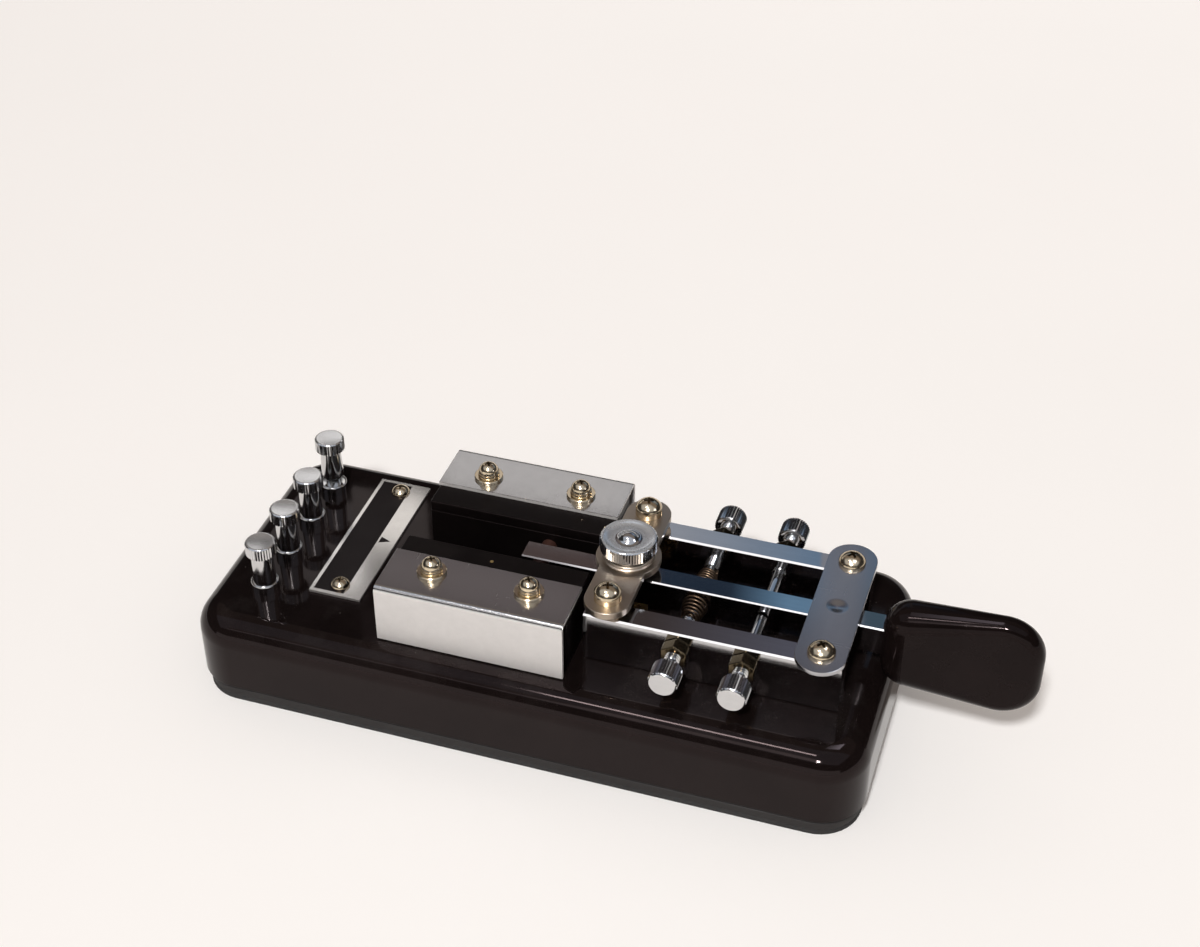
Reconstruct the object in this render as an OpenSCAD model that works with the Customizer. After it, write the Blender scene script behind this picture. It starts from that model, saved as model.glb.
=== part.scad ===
// Telegraph paddle key: one sprung lever between two snap-action switches.
// Millimetres. +X runs towards the paddle, +Z up, origin under the middle of the base.

/* [Base] */
// Length of the moulded base
base_l = 175.2; // [170:0.1:190]
// Width of the moulded base
base_w = 76.6; // [74:0.1:90]
// Height of the moulding
base_h = 19.9; // [18:0.1:26]
// Plan radius of the base's corners
base_corner_r = 12; // [9:0.5:16]
// Radius of the round-over along the top edge
base_edge_r = 7; // [3:0.5:8]
// Thickness of the steel ballast plate
plate_h = 3.7; // [3:0.1:6]
// Thickness of the rubber mat
mat_h = 1.5; // [1:0.1:3]
// How far the plate and mat are set in from the sides
skirt_inset = 1; // [0.5:0.1:2]
// Height of the groove round the plate, under the moulding
groove_h = 1.4; // [1:0.1:1.8]
// Depth of that groove
groove_d = 2.5; // [1.5:0.1:3]

/* [Terminals] */
// Distance of the post row from the middle of the base
post_x = 72.5; // [71:0.5:74]
// Spacing of the posts
post_pitch = 14.4; // [13:0.1:16]
// Sideways offset of the post row
post_shift = 1.4; // [0:0.1:2]
// Radius of a post's stud
post_r = 2; // [1.6:0.1:2.2]
// Radius of a post's collar
collar_r = 3.6; // [3.2:0.1:4]
// Height of a post's collar
collar_h = 2.7; // [2:0.1:3.5]
// Radius of a terminal nut's knurled head
cap_r = 3.95; // [3.6:0.05:4.4]
// Height of the knurled head
cap_h = 3.7; // [3:0.1:4.5]
// Radius of a terminal nut's neck
neck_r = 2.95; // [2.8:0.05:3.3]
// Length of a terminal nut's neck
neck_l = 8.5; // [7:0.1:10]
// How far the last nut is unscrewed
open_lift = 2.2; // [1:0.1:3]

/* [Nameplate] */
// Length of the nameplate
label_l = 48.7; // [45:0.1:52]
// Width of the nameplate
label_w = 14.2; // [12:0.1:15]
// Thickness of the nameplate
label_t = 0.8; // [0.5:0.1:1.2]
// Distance of the nameplate from the middle of the base
label_x = 54.1; // [53.5:0.1:55]
// Sideways offset of the nameplate
label_shift = 5.8; // [0:0.1:7]
// Spacing of the nameplate's screws
label_screw_pitch = 40.6; // [36:0.1:42]

/* [Rails] */
// Length of a rail
rail_l = 64; // [62:0.5:66]
// Width of a rail
rail_w = 6.4; // [6:0.1:8]
// Height of a rail
rail_h = 14.1; // [13.9:0.1:14.6]
// Clear width between the rails
rail_gap = 28.2; // [27.4:0.1:30]
// Distance from the pivot back to the rails' rear end
rail_back = 5.3; // [4.8:0.1:6]
// Chamfer along the rails' edges
rail_chamfer = 0.4; // [0.2:0.1:0.8]

/* [Pivot] */
// Distance of the pivot from the middle of the base
pivot_x = 18.9; // [18:0.1:19.4]
// Radius of the pivot pin in the lever
pin_r = 1.6; // [1.5:0.1:2]
// Radius of the pin's journals
journal_r = 1.25; // [1:0.05:1.35]
// Clearance round a turning or sliding shaft
run_gap = 0.05; // [0.03:0.01:0.08]
// Thickness of the bridge plate
bridge_t = 2; // [1.5:0.1:2.5]
// Width of the bridge's arms
bridge_w = 11.6; // [11:0.1:13]
// Radius of the round middle of the bridge
bridge_hub_r = 8.2; // [7.5:0.1:9]
// Radius of the raised boss on the bridge
bridge_boss_r = 6.6; // [5.5:0.1:7]
// Height of the raised boss
bridge_boss_h = 0.9; // [0.5:0.1:1.2]
// Height of the spacers between rail and bridge
spacer_h = 1.9; // [1.5:0.1:2.5]
// Radius of the pivot knob
knob_r = 7.2; // [6.8:0.1:8]
// Height of the pivot knob's rim
knob_h = 3.7; // [3:0.1:4.5]
// Radius of the dome in the knob's middle
knob_dome_r = 3.4; // [2.8:0.1:3.8]
// Radius of the pivot screw's thread
knob_thread_r = 2.5; // [2.2:0.1:2.8]

/* [Lever] */
// Width of the lever
lever_w = 6; // [5:0.1:6.6]
// Height of the lever
lever_h = 8; // [7.6:0.1:8.2]
// Height of the lever's underside above the base
lever_lift = 5.3; // [5:0.1:5.4]
// Length of the tail behind the pivot
tail_l = 27.3; // [26:0.1:29]
// How far the lever reaches past the base's end
lever_out = 0.8; // [0.4:0.1:2]
// Radius of the stud that holds the paddle
paddle_stud_r = 1.5; // [1.2:0.1:1.8]

/* [Paddle] */
// Length of the paddle
paddle_l = 39; // [34:0.5:44]
// How far the paddle's root laps over the lever's end
paddle_lap = 4.8; // [4:0.1:5.5]
// Thickness of the paddle at its root
paddle_root_t = 11.4; // [10:0.1:13]
// Thickness of the paddle at its tip
paddle_tip_t = 6.6; // [4.5:0.1:8]
// Height of the paddle at its root
paddle_root_h = 23.7; // [20:0.1:24]
// Height of the paddle at its tip
paddle_tip_h = 28.1; // [24:0.1:30]
// Radius of the paddle's corners at its root, seen from the side
paddle_root_r = 7; // [6:0.1:8]
// Radius of the paddle's corners at its tip, seen from the side
paddle_tip_r = 10.2; // [8:0.1:12]
// How far the middle of the paddle's root lies below the lever's middle
paddle_root_drop = 0.9; // [0:0.1:1]
// How far the middle of the paddle's tip lies below the lever's middle
paddle_tip_drop = 1.4; // [0.5:0.1:2]

/* [Adjusters] */
// Distance from the pivot to the tension screws
tension_arm = 18.5; // [17:0.1:20]
// Distance from the pivot to the stop screws
stop_arm = 35.3; // [33:0.1:37]
// Radius of the adjusters' thread
adjuster_r = 2; // [1.6:0.1:2.2]
// Radius of the stop screws' polished pins
stop_pin_r = 1.5; // [1.2:0.1:1.6]
// Gap between a stop screw's tip and the lever
stop_gap = 0.7; // [0.7:0.1:1.2]
// Radius of the adjusters' knurled heads
head_r = 3.7; // [3.2:0.1:4.2]
// Length of the adjusters' knurled heads
head_l = 6; // [5:0.1:7]
// How far the heads' ends lie outside the rails
head_out = 13.2; // [12.4:0.1:15]
// Length of the neck under a head
head_neck_l = 1.6; // [1:0.1:2]
// Width across the lock nuts' flats
locknut_af = 6.4; // [6:0.1:7.6]
// Thickness of the lock nuts
locknut_h = 3.4; // [2.6:0.1:3.8]

/* [Springs] */
// Diameter of the spring wire
spring_wire = 0.6; // [0.5:0.05:0.65]
// Curls in one spring
spring_curls = 5; // [4:1:5]
// Mean radius of a spring at the lever
spring_wide_r = 3.1; // [2.8:0.1:3.2]
// Mean radius of a spring at its screw
spring_narrow_r = 2; // [1.9:0.05:2.2]
// Clear length between the spring's seat in the lever and the tension screw's shoulder
spring_room = 7.8; // [7.4:0.1:8.4]
// Depth of the spring's seat in the lever
spring_seat = 0.6; // [0.4:0.1:0.8]

/* [Guide strap] */
// Thickness of the guide strap
strap_t = 1.2; // [0.8:0.1:1.6]
// Width of the guide strap
strap_w = 12.4; // [11:0.1:12.8]
// How far the strap's ends reach past the rails
strap_over = 4; // [3:0.1:5]
// Distance from the pivot to the strap's middle
strap_arm = 53; // [52:0.1:53.4]
// Gap between the strap's pressed dimple and the lever
dimple_gap = 0.2; // [0.1:0.05:0.3]

/* [Switches] */
// Length of a switch
switch_l = 48.2; // [46:0.1:48.6]
// Height of a switch with its cover
switch_h = 16.1; // [15.4:0.1:16.8]
// Thickness of a switch's cover
cover_t = 3; // [2:0.1:3.5]
// Distance of a switch's inner face from the lever's line
switch_face_y = 7.2; // [6.8:0.1:7.6]
// Depth of a switch from inner to outer face
switch_d = 18.8; // [18.2:0.1:19.2]
// Wall of a switch's case
switch_wall = 3; // [2.5:0.1:3.2]
// Distance of a switch's screws from the lever's line
switch_screw_y = 20.2; // [19.8:0.1:20.4]
// Spacing of a switch's screws
switch_screw_pitch = 25.4; // [25:0.1:26]
// Distance of a switch's middle behind the middle of the base
switch_x = 12.95; // [12.6:0.05:13.2]
// Distance from the pivot back to the plungers
plunger_arm = 23.4; // [22:0.1:24]
// Radius of a plunger
plunger_r = 2; // [1.7:0.1:2.4]

/* [Brackets] */
// Length of a bracket
bracket_l = 48.8; // [48.2:0.1:50]
// Thickness of the bracket's sheet
bracket_t = 1; // [0.8:0.1:1.2]
// Distance of a bracket's inner edge from the lever's line
bracket_in_y = 14.2; // [13.5:0.1:15]
// Distance of a bracket's outer face from the lever's line
bracket_out_y = 30; // [29.8:0.1:30.6]
// Outer radius of the bracket's bend
bracket_bend_r = 1.6; // [1.4:0.1:2.5]
// Gap between a bracket's lower edge and the base
bracket_foot_gap = 0.4; // [0.3:0.1:1]

/* [Screws] */
// Radius of a frame screw's head
pan_r = 3.4; // [3:0.1:3.6]
// Height of a frame screw's head
pan_h = 2.8; // [2.2:0.1:3.2]
// Radius of a switch screw's head
switch_pan_r = 2.6; // [2.4:0.1:3]
// Height of a switch screw's head
switch_pan_h = 2.7; // [2.2:0.1:3]
// Radius of the screws' shanks
screw_r = 1.75; // [1.5:0.05:1.8]
// Clearance of a screw in its hole
screw_gap = 0.05; // [0.03:0.01:0.1]
// Width across the flats of the nuts under the base
nut_af = 6; // [5.6:0.1:6.4]
// Thickness of the nuts under the base
nut_h = 2.8; // [2.2:0.1:3.2]
// Radius of the switch screws' flat washers
flat_washer_r = 3.75; // [3.4:0.05:4.2]
// Thickness of the switch screws' flat washers
flat_washer_h = 0.8; // [0.5:0.1:1.2]
// Radius of the bridge screws' spring washers
spring_washer_r = 3.4; // [3.2:0.1:3.7]
// Thickness of the bridge screws' spring washers
spring_washer_h = 1.6; // [1:0.1:2]
// Radius of the switch screws' spring washers
lock_washer_r = 2.8; // [2.6:0.1:3.2]
// Thickness of the switch screws' spring washers
lock_washer_h = 1; // [0.8:0.1:1.4]

/* [Hidden] */
$fn = 64;

// Levels above the table
plate_z = mat_h;
moulding_z = plate_z + plate_h;
top_z = moulding_z + base_h;
pocket_h = 7.8;
pocket_z = moulding_z + pocket_h;
lever_z = top_z + lever_lift;
lever_mid_z = lever_z + lever_h / 2;
rail_top_z = top_z + rail_h;
bridge_z = rail_top_z + spacer_h;
bridge_top_z = bridge_z + bridge_t;
boss_top_z = bridge_top_z + bridge_boss_h;
axis_z = lever_mid_z;
cover_z = top_z + switch_h - cover_t;
switch_top_z = top_z + switch_h;
bracket_top_z = switch_top_z + bracket_t;

// Places along and across the key
rail_x = pivot_x - rail_back;
rail_mid_y = rail_gap / 2 + rail_w / 2;
rail_out_y = rail_gap / 2 + rail_w;
lever_side_y = lever_w / 2;
tension_x = pivot_x + tension_arm;
stop_x = pivot_x + stop_arm;
strap_x = pivot_x + strap_arm;
plunger_x = pivot_x - plunger_arm;
lever_front_x = base_l / 2 + lever_out;
lever_back_x = pivot_x - tail_l;
lever_l = lever_front_x - lever_back_x;
rail_screw_shares = [0.22, 0.765];
rail_screw_xs = [for (q = rail_screw_shares) rail_x + q * rail_l];
switch_screw_xs = [-switch_x - switch_screw_pitch / 2, -switch_x + switch_screw_pitch / 2];
post_ys = [for (k = [1.5, 0.5, -0.5, -1.5]) post_shift + k * post_pitch];
label_screw_ys = [label_shift + label_screw_pitch / 2, label_shift - label_screw_pitch / 2];
spring_seat_y = lever_side_y - spring_seat;
shoulder_y = spring_seat_y + spring_room;

// Fits and small allowances
seat_gap = 0.02;
cut = 1;
lap = 0.01;
thrust_gap = 0.2;
tip_gap = 0.1;
blind_gap = 0.1;
pocket_gap = 0.4;
knurl_depth = 0.25;
knurl_step = knurl_depth + 0.1;
knurl_rim = 0.35;

// Plate screws under the base
plate_screw_inset = [9.6, 6.8];
plate_screw_x = base_l / 2 - plate_screw_inset[0];
plate_screw_y = base_w / 2 - plate_screw_inset[1];
plate_screw_r = 1.6;
plate_screw_l = 12;
csk_r = 3.2;

// Wire pockets and wires under the base
wire_d = 1.6;
wire_hole_r = 1.9;
lug_inset = 5.05;
lug_pitch = 14;
switch_back_x = -switch_x - switch_l / 2;
wire_xs = [switch_back_x + lug_inset, switch_back_x + lug_inset + lug_pitch];
lug_lift = 5;
lug_z = top_z + lug_lift;
lug_t = 0.8;
lug_w = 3;
lug_reach = 2.2;
lug_out_y = switch_face_y + switch_d + lug_reach;
lug_end = 1;
wire_y = lug_out_y - lug_end;
channel_w = 6.6;
channel_in = 3.6;
channel_in_y = wire_y - channel_in;
channel_out_y = channel_in_y + channel_w;
channel_front_x = wire_xs[1] + lug_w;
post_pocket_back = 4.5;
post_pocket_front = 11.5;
post_pocket_back_x = -post_x - post_pocket_back;
post_pocket_front_x = -post_x + post_pocket_front;
post_pocket_over = 4;
post_pocket_half = channel_in_y + post_pocket_over;

steel = "silver";
nickel = "lightgray";
brassy = "khaki";
black = [0.08, 0.08, 0.09];

// Shapes that repeat

// Rectangle with round corners, centred.
module rounded_rect(l, w, r) {
    square([l - 2 * r, w], center = true);
    square([l, w - 2 * r], center = true);
    for (sx = [-1, 1], sy = [-1, 1])
        translate([sx * (l / 2 - r), sy * (w / 2 - r)])
            circle(r);
}

// Side view of a slab whose two top corners are rounded, standing on the X axis.
module crowned(w, h, r) {
    translate([-w / 2, 0])
        square([w, h - r]);
    translate([-w / 2 + r, 0])
        square([w - 2 * r, h]);
    for (s = [-1, 1])
        translate([s * (w / 2 - r), h - r])
            circle(r);
}

// Slab with round plan corners and a rolled top edge.
module rolled_slab(l, w, h, corner, edge) {
    rotate([90, 0, 0])
        translate([0, 0, -(w / 2 - corner)])
            linear_extrude(w - 2 * corner)
                crowned(l, h, edge);
    rotate([90, 0, 90])
        translate([0, 0, -(l / 2 - corner)])
            linear_extrude(l - 2 * corner)
                crowned(w, h, edge);
    for (sx = [-1, 1], sy = [-1, 1])
        translate([sx * (l / 2 - corner), sy * (w / 2 - corner), 0])
            rotate_extrude()
                intersection() {
                    crowned(2 * corner, h, edge);
                    square([corner, h]);
                }
}

// Radius of the ball whose cap stands h high over a circle of radius r.
function cap_ball_r(r, h) = (r * r + h * h) / (2 * h);

// Upright disc or ring.
module ring(r, bore, h) {
    difference() {
        cylinder(r = r, h = h);
        translate([0, 0, -cut])
            cylinder(r = bore, h = h + 2 * cut);
    }
}

// Ring with a slanting split, as a spring washer has.
module split_ring(r, bore, h) {
    split = 0.5;
    split_lean = 12;
    split_turn = 60;
    difference() {
        ring(r, bore, h);
        rotate([split_lean, 0, split_turn])
            translate([0, -split / 2, -cut])
                cube([2 * r, split, h + 3 * cut]);
    }
}

// Six-sided nut with a round bore.
module hex_nut(af, bore, h) {
    difference() {
        cylinder(r = af / sqrt(3), h = h, $fn = 6);
        translate([0, 0, -cut])
            cylinder(r = bore, h = h + 2 * cut);
    }
}

// Pan-head screw with a domed top and a cross recess, its head's underside at z = 0.
module pan_screw(r, h, shank_r, shank_l) {
    dome_h = 0.75 * h;
    ball_r = cap_ball_r(r, dome_h);
    slot_w = 0.3 * r;
    slot_l = 1.15 * r;
    slot_z = 0.5 * h;
    difference() {
        rotate_extrude()
            intersection() {
                translate([0, h - ball_r])
                    circle(ball_r);
                square([r, h]);
            }
        for (a = [0, 90])
            rotate([0, 0, a])
                translate([-slot_l / 2, -slot_w / 2, slot_z])
                    cube([slot_l, slot_w, h]);
    }
    translate([0, 0, -shank_l])
        cylinder(r = shank_r, h = shank_l + lap);
}

// Straight-knurled band round a smooth, slightly taller core.
module knurled(r, h, teeth) {
    cylinder(r = r - knurl_step, h = h);
    translate([0, 0, knurl_rim])
        linear_extrude(h - 2 * knurl_rim)
            knurl_outline(r, teeth);
}

// Toothed circle, its valleys knurl_depth inside r.
module knurl_outline(r, teeth) {
    polygon([for (k = [0 : 2 * teeth - 1])
        let (a = 180 * k / teeth, q = k % 2 == 0 ? r : r - knurl_depth)
            [q * cos(a), q * sin(a)]]);
}

// Bar along X with chamfered long edges, from x0 over length l, resting at z0.
module chamfered_bar(x0, l, w, z0, h, c) {
    translate([x0, 0, z0])
        rotate([90, 0, 90])
            linear_extrude(l)
                polygon([[-w / 2 + c, 0], [w / 2 - c, 0], [w / 2, c], [w / 2, h - c],
                    [w / 2 - c, h], [-w / 2 + c, h], [-w / 2, h - c], [-w / 2, c]]);
}

// Turns a piece modelled on the far side round to the near side.
module near_side() {
    mirror([0, 1, 0])
        children();
}

// Sweeps a round tube of diameter d along points, one ring of sides corners at each.
// across gives for each point a direction that never lies along the tube.
module tube(path, across, d, sides) {
    n = len(path);
    function unit(v) = v / norm(v);
    function along(i) = unit(path[min(i + 1, n - 1)] - path[max(i - 1, 0)]);
    function square_to(v, t) = unit(v - (v * t) * t);
    rings = [for (i = [0 : n - 1])
        let (t = along(i), u = square_to(across[i], t), v = cross(t, u))
            for (k = [0 : sides - 1])
                path[i] + (u * cos(360 * k / sides) + v * sin(360 * k / sides)) * d / 2];
    walls = [for (i = [0 : n - 2], k = [0 : sides - 1])
        let (a = i * sides + k, b = i * sides + (k + 1) % sides)
            each [[a, a + sides, b], [b, a + sides, b + sides]]];
    caps = [for (k = [1 : sides - 2])
        each [[0, k, k + 1], [(n - 1) * sides, (n - 1) * sides + k + 1, (n - 1) * sides + k]]];
    polyhedron(points = rings, faces = concat(walls, caps));
}

// Base and what is under it

module base_moulding() {
    color(black)
        difference() {
            translate([0, 0, moulding_z])
                rolled_slab(base_l, base_w, base_h, base_corner_r, base_edge_r);
            base_holes();
            base_pockets();
        }
}

// Holes from the top of the base down into its pockets.
module base_holes() {
    for (x = switch_screw_xs, s = [-1, 1])
        translate([x, s * switch_screw_y, moulding_z])
            cylinder(r = screw_r + screw_gap, h = base_h + cut);
    for (x = wire_xs, s = [-1, 1])
        translate([x, s * wire_y, moulding_z])
            cylinder(r = wire_hole_r, h = base_h + cut);
    for (y = post_ys)
        translate([-post_x, y, moulding_z])
            cylinder(r = post_r + screw_gap, h = base_h + cut);
    for (x = rail_screw_xs, s = [-1, 1])
        translate([x, s * rail_mid_y, moulding_z])
            cylinder(r = screw_r + screw_gap, h = base_h + cut);
    translate([pivot_x, 0, top_z - bearing_stem_l])
        cylinder(r = bearing_stem_r + seat_gap, h = bearing_stem_l + cut);
    for (y = label_screw_ys)
        translate([-label_x, y, top_z - label_shank_l])
            cylinder(r = label_shank_r + seat_gap, h = label_shank_l + cut);
    for (sx = [-1, 1], sy = [-1, 1])
        translate([sx * plate_screw_x, sy * plate_screw_y, moulding_z - cut])
            cylinder(r = plate_screw_r + seat_gap, h = plate_screw_l - plate_h + cut);
}

// Pockets cut up into the base from below, for nuts, screw heads and wires.
module base_pockets() {
    for (x = switch_screw_xs, s = [-1, 1])
        translate([x, s * switch_screw_y, moulding_z - cut])
            cylinder(r = nut_af / sqrt(3) + pocket_gap, h = pocket_h + cut);
    for (x = rail_screw_xs, s = [-1, 1])
        translate([x, s * rail_mid_y, moulding_z - cut])
            cylinder(r = pan_r + pocket_gap, h = pocket_h + cut);
    for (s = [-1, 1])
        translate([post_pocket_front_x - cut, s > 0 ? channel_in_y : -channel_out_y, moulding_z - cut])
            cube([channel_front_x - post_pocket_front_x + cut, channel_out_y - channel_in_y, pocket_h + cut]);
    translate([post_pocket_back_x, -post_pocket_half, moulding_z - cut])
        cube([post_pocket_front_x - post_pocket_back_x, 2 * post_pocket_half, pocket_h + cut]);
}

// Outline set in from the base's sides.
module skirt_outline(inset) {
    rounded_rect(base_l - 2 * inset, base_w - 2 * inset, base_corner_r - inset);
}

module ballast_plate() {
    color("dimgray")
        difference() {
            translate([0, 0, plate_z]) {
                linear_extrude(plate_h - groove_h)
                    skirt_outline(skirt_inset);
                linear_extrude(plate_h)
                    skirt_outline(skirt_inset + groove_d);
            }
            for (sx = [-1, 1], sy = [-1, 1])
                translate([sx * plate_screw_x, sy * plate_screw_y, plate_z])
                    ballast_screw_space(screw_gap);
        }
}

// Outline of a countersunk screw, grown by gap, from the plate's underside up.
module ballast_screw_space(gap) {
    csk_h = csk_r - plate_screw_r;
    rotate_extrude()
        polygon([[0, 0], [csk_r + gap, 0], [plate_screw_r + gap, csk_h],
            [plate_screw_r + gap, plate_screw_l], [0, plate_screw_l]]);
}

module ballast_screws() {
    color(steel)
        for (sx = [-1, 1], sy = [-1, 1])
            translate([sx * plate_screw_x, sy * plate_screw_y, plate_z])
                ballast_screw_space(0);
}

module rubber_mat() {
    color([0.2, 0.2, 0.2])
        linear_extrude(mat_h)
            skirt_outline(skirt_inset);
}

// Nameplate

label_shank_r = 1.2;
label_shank_l = 6;
label_pan_r = 2.5;
label_pan_h = 2;

module nameplate() {
    color("gainsboro")
        translate([-label_x, label_shift, top_z])
            difference() {
                translate([-label_w / 2, -label_l / 2, 0])
                    cube([label_w, label_l, label_t]);
                for (s = [-1, 1])
                    translate([0, s * label_screw_pitch / 2, -cut])
                        cylinder(r = label_shank_r + screw_gap, h = label_t + 2 * cut);
            }
}

module nameplate_screws() {
    color(brassy)
        for (y = label_screw_ys)
            translate([-label_x, y, top_z + label_t])
                pan_screw(label_pan_r, label_pan_h, label_shank_r, label_shank_l + label_t - blind_gap);
}

// Terminals

stud_top_gap = 0.4;
stud_top_h = collar_h + neck_l - stud_top_gap;
stud_end_h = 1.2;
collar_bevel = 0.5;
post_nut_af = nut_af + 0.8;

module terminal_posts() {
    color(nickel)
        for (y = post_ys)
            translate([-post_x, y, 0]) {
                translate([0, 0, pocket_z - nut_h - stud_end_h])
                    cylinder(r = post_r, h = top_z + stud_top_h - pocket_z + nut_h + stud_end_h);
                translate([0, 0, top_z])
                    rotate_extrude()
                        polygon([[0, 0], [collar_r, 0], [collar_r, collar_h - collar_bevel],
                            [collar_r - collar_bevel, collar_h], [0, collar_h]]);
            }
}

module post_nuts() {
    color(brassy)
        for (y = post_ys)
            translate([-post_x, y, pocket_z - nut_h])
                rotate([0, 0, 30])
                    hex_nut(post_nut_af, post_r + screw_gap, nut_h);
}

// Knurled cap nut with a smooth neck, k counted from the far end of the row.
module terminal_nut(k) {
    lift = k == 0 ? open_lift : 0;
    dish = 0.5;
    dish_flat_r = 0.2;
    lip_w = 0.9;
    roof = 1.5;
    cap_teeth = 34;
    color(nickel)
        translate([-post_x, post_ys[k], top_z + collar_h + thrust_gap + lift])
            difference() {
                union() {
                    cylinder(r = neck_r, h = neck_l + lap);
                    translate([0, 0, neck_l])
                        knurled(cap_r, cap_h, cap_teeth);
                }
                translate([0, 0, -cut])
                    cylinder(r = post_r + run_gap, h = neck_l + cap_h - roof + cut);
                translate([0, 0, neck_l + cap_h - dish])
                    cylinder(r1 = dish_flat_r, r2 = cap_r - lip_w, h = dish + lap);
            }
}

module terminal_nut_1() { terminal_nut(0); }
module terminal_nut_2() { terminal_nut(1); }
module terminal_nut_3() { terminal_nut(2); }
module terminal_nut_4() { terminal_nut(3); }

// Rails

rail_hole_depth = 7;
hole_spare = 1;

// The far rail, with its holes for adjusters and screws.
module rail() {
    color(steel)
        difference() {
            translate([0, rail_mid_y, 0])
                chamfered_bar(rail_x, rail_l, rail_w, top_z, rail_h, rail_chamfer);
            for (x = [tension_x, stop_x])
                translate([x, rail_gap / 2 - cut, axis_z])
                    rotate([-90, 0, 0])
                        cylinder(r = adjuster_r + run_gap, h = rail_w + 2 * cut);
            for (x = rail_screw_xs)
                translate([x, rail_mid_y, top_z - cut])
                    cylinder(r = screw_r + screw_gap, h = rail_hole_depth + cut);
            for (x = [pivot_x, strap_x])
                translate([x, rail_mid_y, rail_top_z - rail_hole_depth])
                    cylinder(r = screw_r + screw_gap, h = rail_hole_depth + cut);
        }
}

module far_rail() { rail(); }
module near_rail() { near_side() rail(); }

module rail_screws() {
    reach = rail_hole_depth - hole_spare;
    color(steel)
        for (x = rail_screw_xs, s = [-1, 1])
            translate([x, s * rail_mid_y, pocket_z])
                mirror([0, 0, 1])
                    pan_screw(pan_r, pan_h, screw_r, top_z - pocket_z + reach);
}

// Bridge and pivot

module pivot_bridge() {
    boss_taper = 0.4;
    color("tan")
        difference() {
            union() {
                translate([pivot_x, 0, bridge_z])
                    linear_extrude(bridge_t) {
                        square([bridge_w, 2 * rail_mid_y], center = true);
                        circle(bridge_hub_r);
                        for (s = [-1, 1])
                            translate([0, s * rail_mid_y])
                                circle(bridge_w / 2);
                    }
                translate([pivot_x, 0, bridge_top_z])
                    cylinder(r1 = bridge_boss_r, r2 = bridge_boss_r - boss_taper, h = bridge_boss_h);
            }
            translate([pivot_x, 0, bridge_z - cut])
                cylinder(r = knob_thread_r + run_gap, h = bridge_t + bridge_boss_h + 2 * cut);
            for (s = [-1, 1])
                translate([pivot_x, s * rail_mid_y, bridge_z - cut])
                    cylinder(r = screw_r + screw_gap, h = bridge_t + 2 * cut);
        }
}

module bridge_spacers() {
    color(brassy)
        for (s = [-1, 1])
            translate([pivot_x, s * rail_mid_y, rail_top_z])
                ring(rail_w / 2, screw_r + screw_gap, spacer_h);
}

module bridge_washers() {
    color(steel)
        for (s = [-1, 1])
            translate([pivot_x, s * rail_mid_y, bridge_top_z])
                split_ring(spring_washer_r, screw_r + screw_gap, spring_washer_h);
}

module bridge_screws() {
    reach = rail_hole_depth - hole_spare;
    color(brassy)
        for (s = [-1, 1])
            translate([pivot_x, s * rail_mid_y, bridge_top_z + spring_washer_h])
                pan_screw(pan_r, pan_h, screw_r, spring_washer_h + bridge_t + spacer_h + reach);
}

pivot_washer_h = 1.1;
pivot_washer_inset = 0.5;
knob_z = boss_top_z + pivot_washer_h + thrust_gap;
pivot_end_lift = 0.3;
pivot_end_z = rail_top_z + pivot_end_lift;
journal_l = 2;

module pivot_washer() {
    color([0.25, 0.24, 0.22])
        translate([pivot_x, 0, boss_top_z])
            ring(bridge_boss_r - pivot_washer_inset, knob_thread_r + run_gap, pivot_washer_h);
}

module pivot_screw() {
    knob_teeth = 64;
    dome_h = 1.3;
    dome_ball_r = cap_ball_r(knob_dome_r, dome_h);
    dish = 0.3;
    lip_w = 1;
    core_r = knob_r - knurl_step;
    band_rim = 1.5 * knurl_rim;
    band_w = 0.5;
    color(nickel)
        translate([pivot_x, 0, 0]) {
            difference() {
                translate([0, 0, pivot_end_z])
                    cylinder(r = knob_thread_r, h = knob_z - pivot_end_z + lap);
                translate([0, 0, pivot_end_z - cut])
                    cylinder(r = journal_r + run_gap, h = journal_l + thrust_gap + cut);
            }
            translate([0, 0, knob_z])
                rotate_extrude() {
                    difference() {
                        square([core_r, knob_h]);
                        translate([0, knob_h - dish])
                            square([knob_r - lip_w, dish + cut]);
                    }
                    translate([0, knob_h - dish])
                        intersection() {
                            translate([0, dome_h - dome_ball_r])
                                circle(dome_ball_r);
                            square([knob_dome_r, dome_h]);
                        }
                }
            translate([0, 0, knob_z + band_rim])
                linear_extrude(knob_h - 2 * band_rim)
                    difference() {
                        knurl_outline(knob_r, knob_teeth);
                        circle(core_r - band_w);
                    }
        }
}

bearing_flange_r = 5;
bearing_flange_h = 2;
bearing_stem_r = 3.5;
bearing_stem_l = 7;
bearing_bore_l = 3.5;

module lower_bearing() {
    color("goldenrod")
        translate([pivot_x, 0, top_z])
            difference() {
                union() {
                    cylinder(r = bearing_flange_r, h = bearing_flange_h);
                    translate([0, 0, -bearing_stem_l])
                        cylinder(r = bearing_stem_r, h = bearing_stem_l + lap);
                }
                translate([0, 0, bearing_flange_h - bearing_bore_l])
                    cylinder(r = journal_r + run_gap, h = bearing_bore_l + cut);
            }
}

module pivot_pin() {
    body_z = top_z + bearing_flange_h + thrust_gap;
    body_end_z = pivot_end_z - thrust_gap;
    foot_z = top_z + bearing_flange_h - bearing_bore_l + thrust_gap;
    color(steel)
        translate([pivot_x, 0, 0]) {
            translate([0, 0, body_z])
                cylinder(r = pin_r, h = body_end_z - body_z);
            translate([0, 0, foot_z])
                cylinder(r = journal_r, h = body_end_z + thrust_gap + journal_l - foot_z);
        }
}

// Lever and paddle

seat_r = spring_wide_r + spring_wire / 2 + tip_gap;
stud_in_lever = 9;
stud_in_paddle = 12;
lever_chamfer = 0.3;

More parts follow.
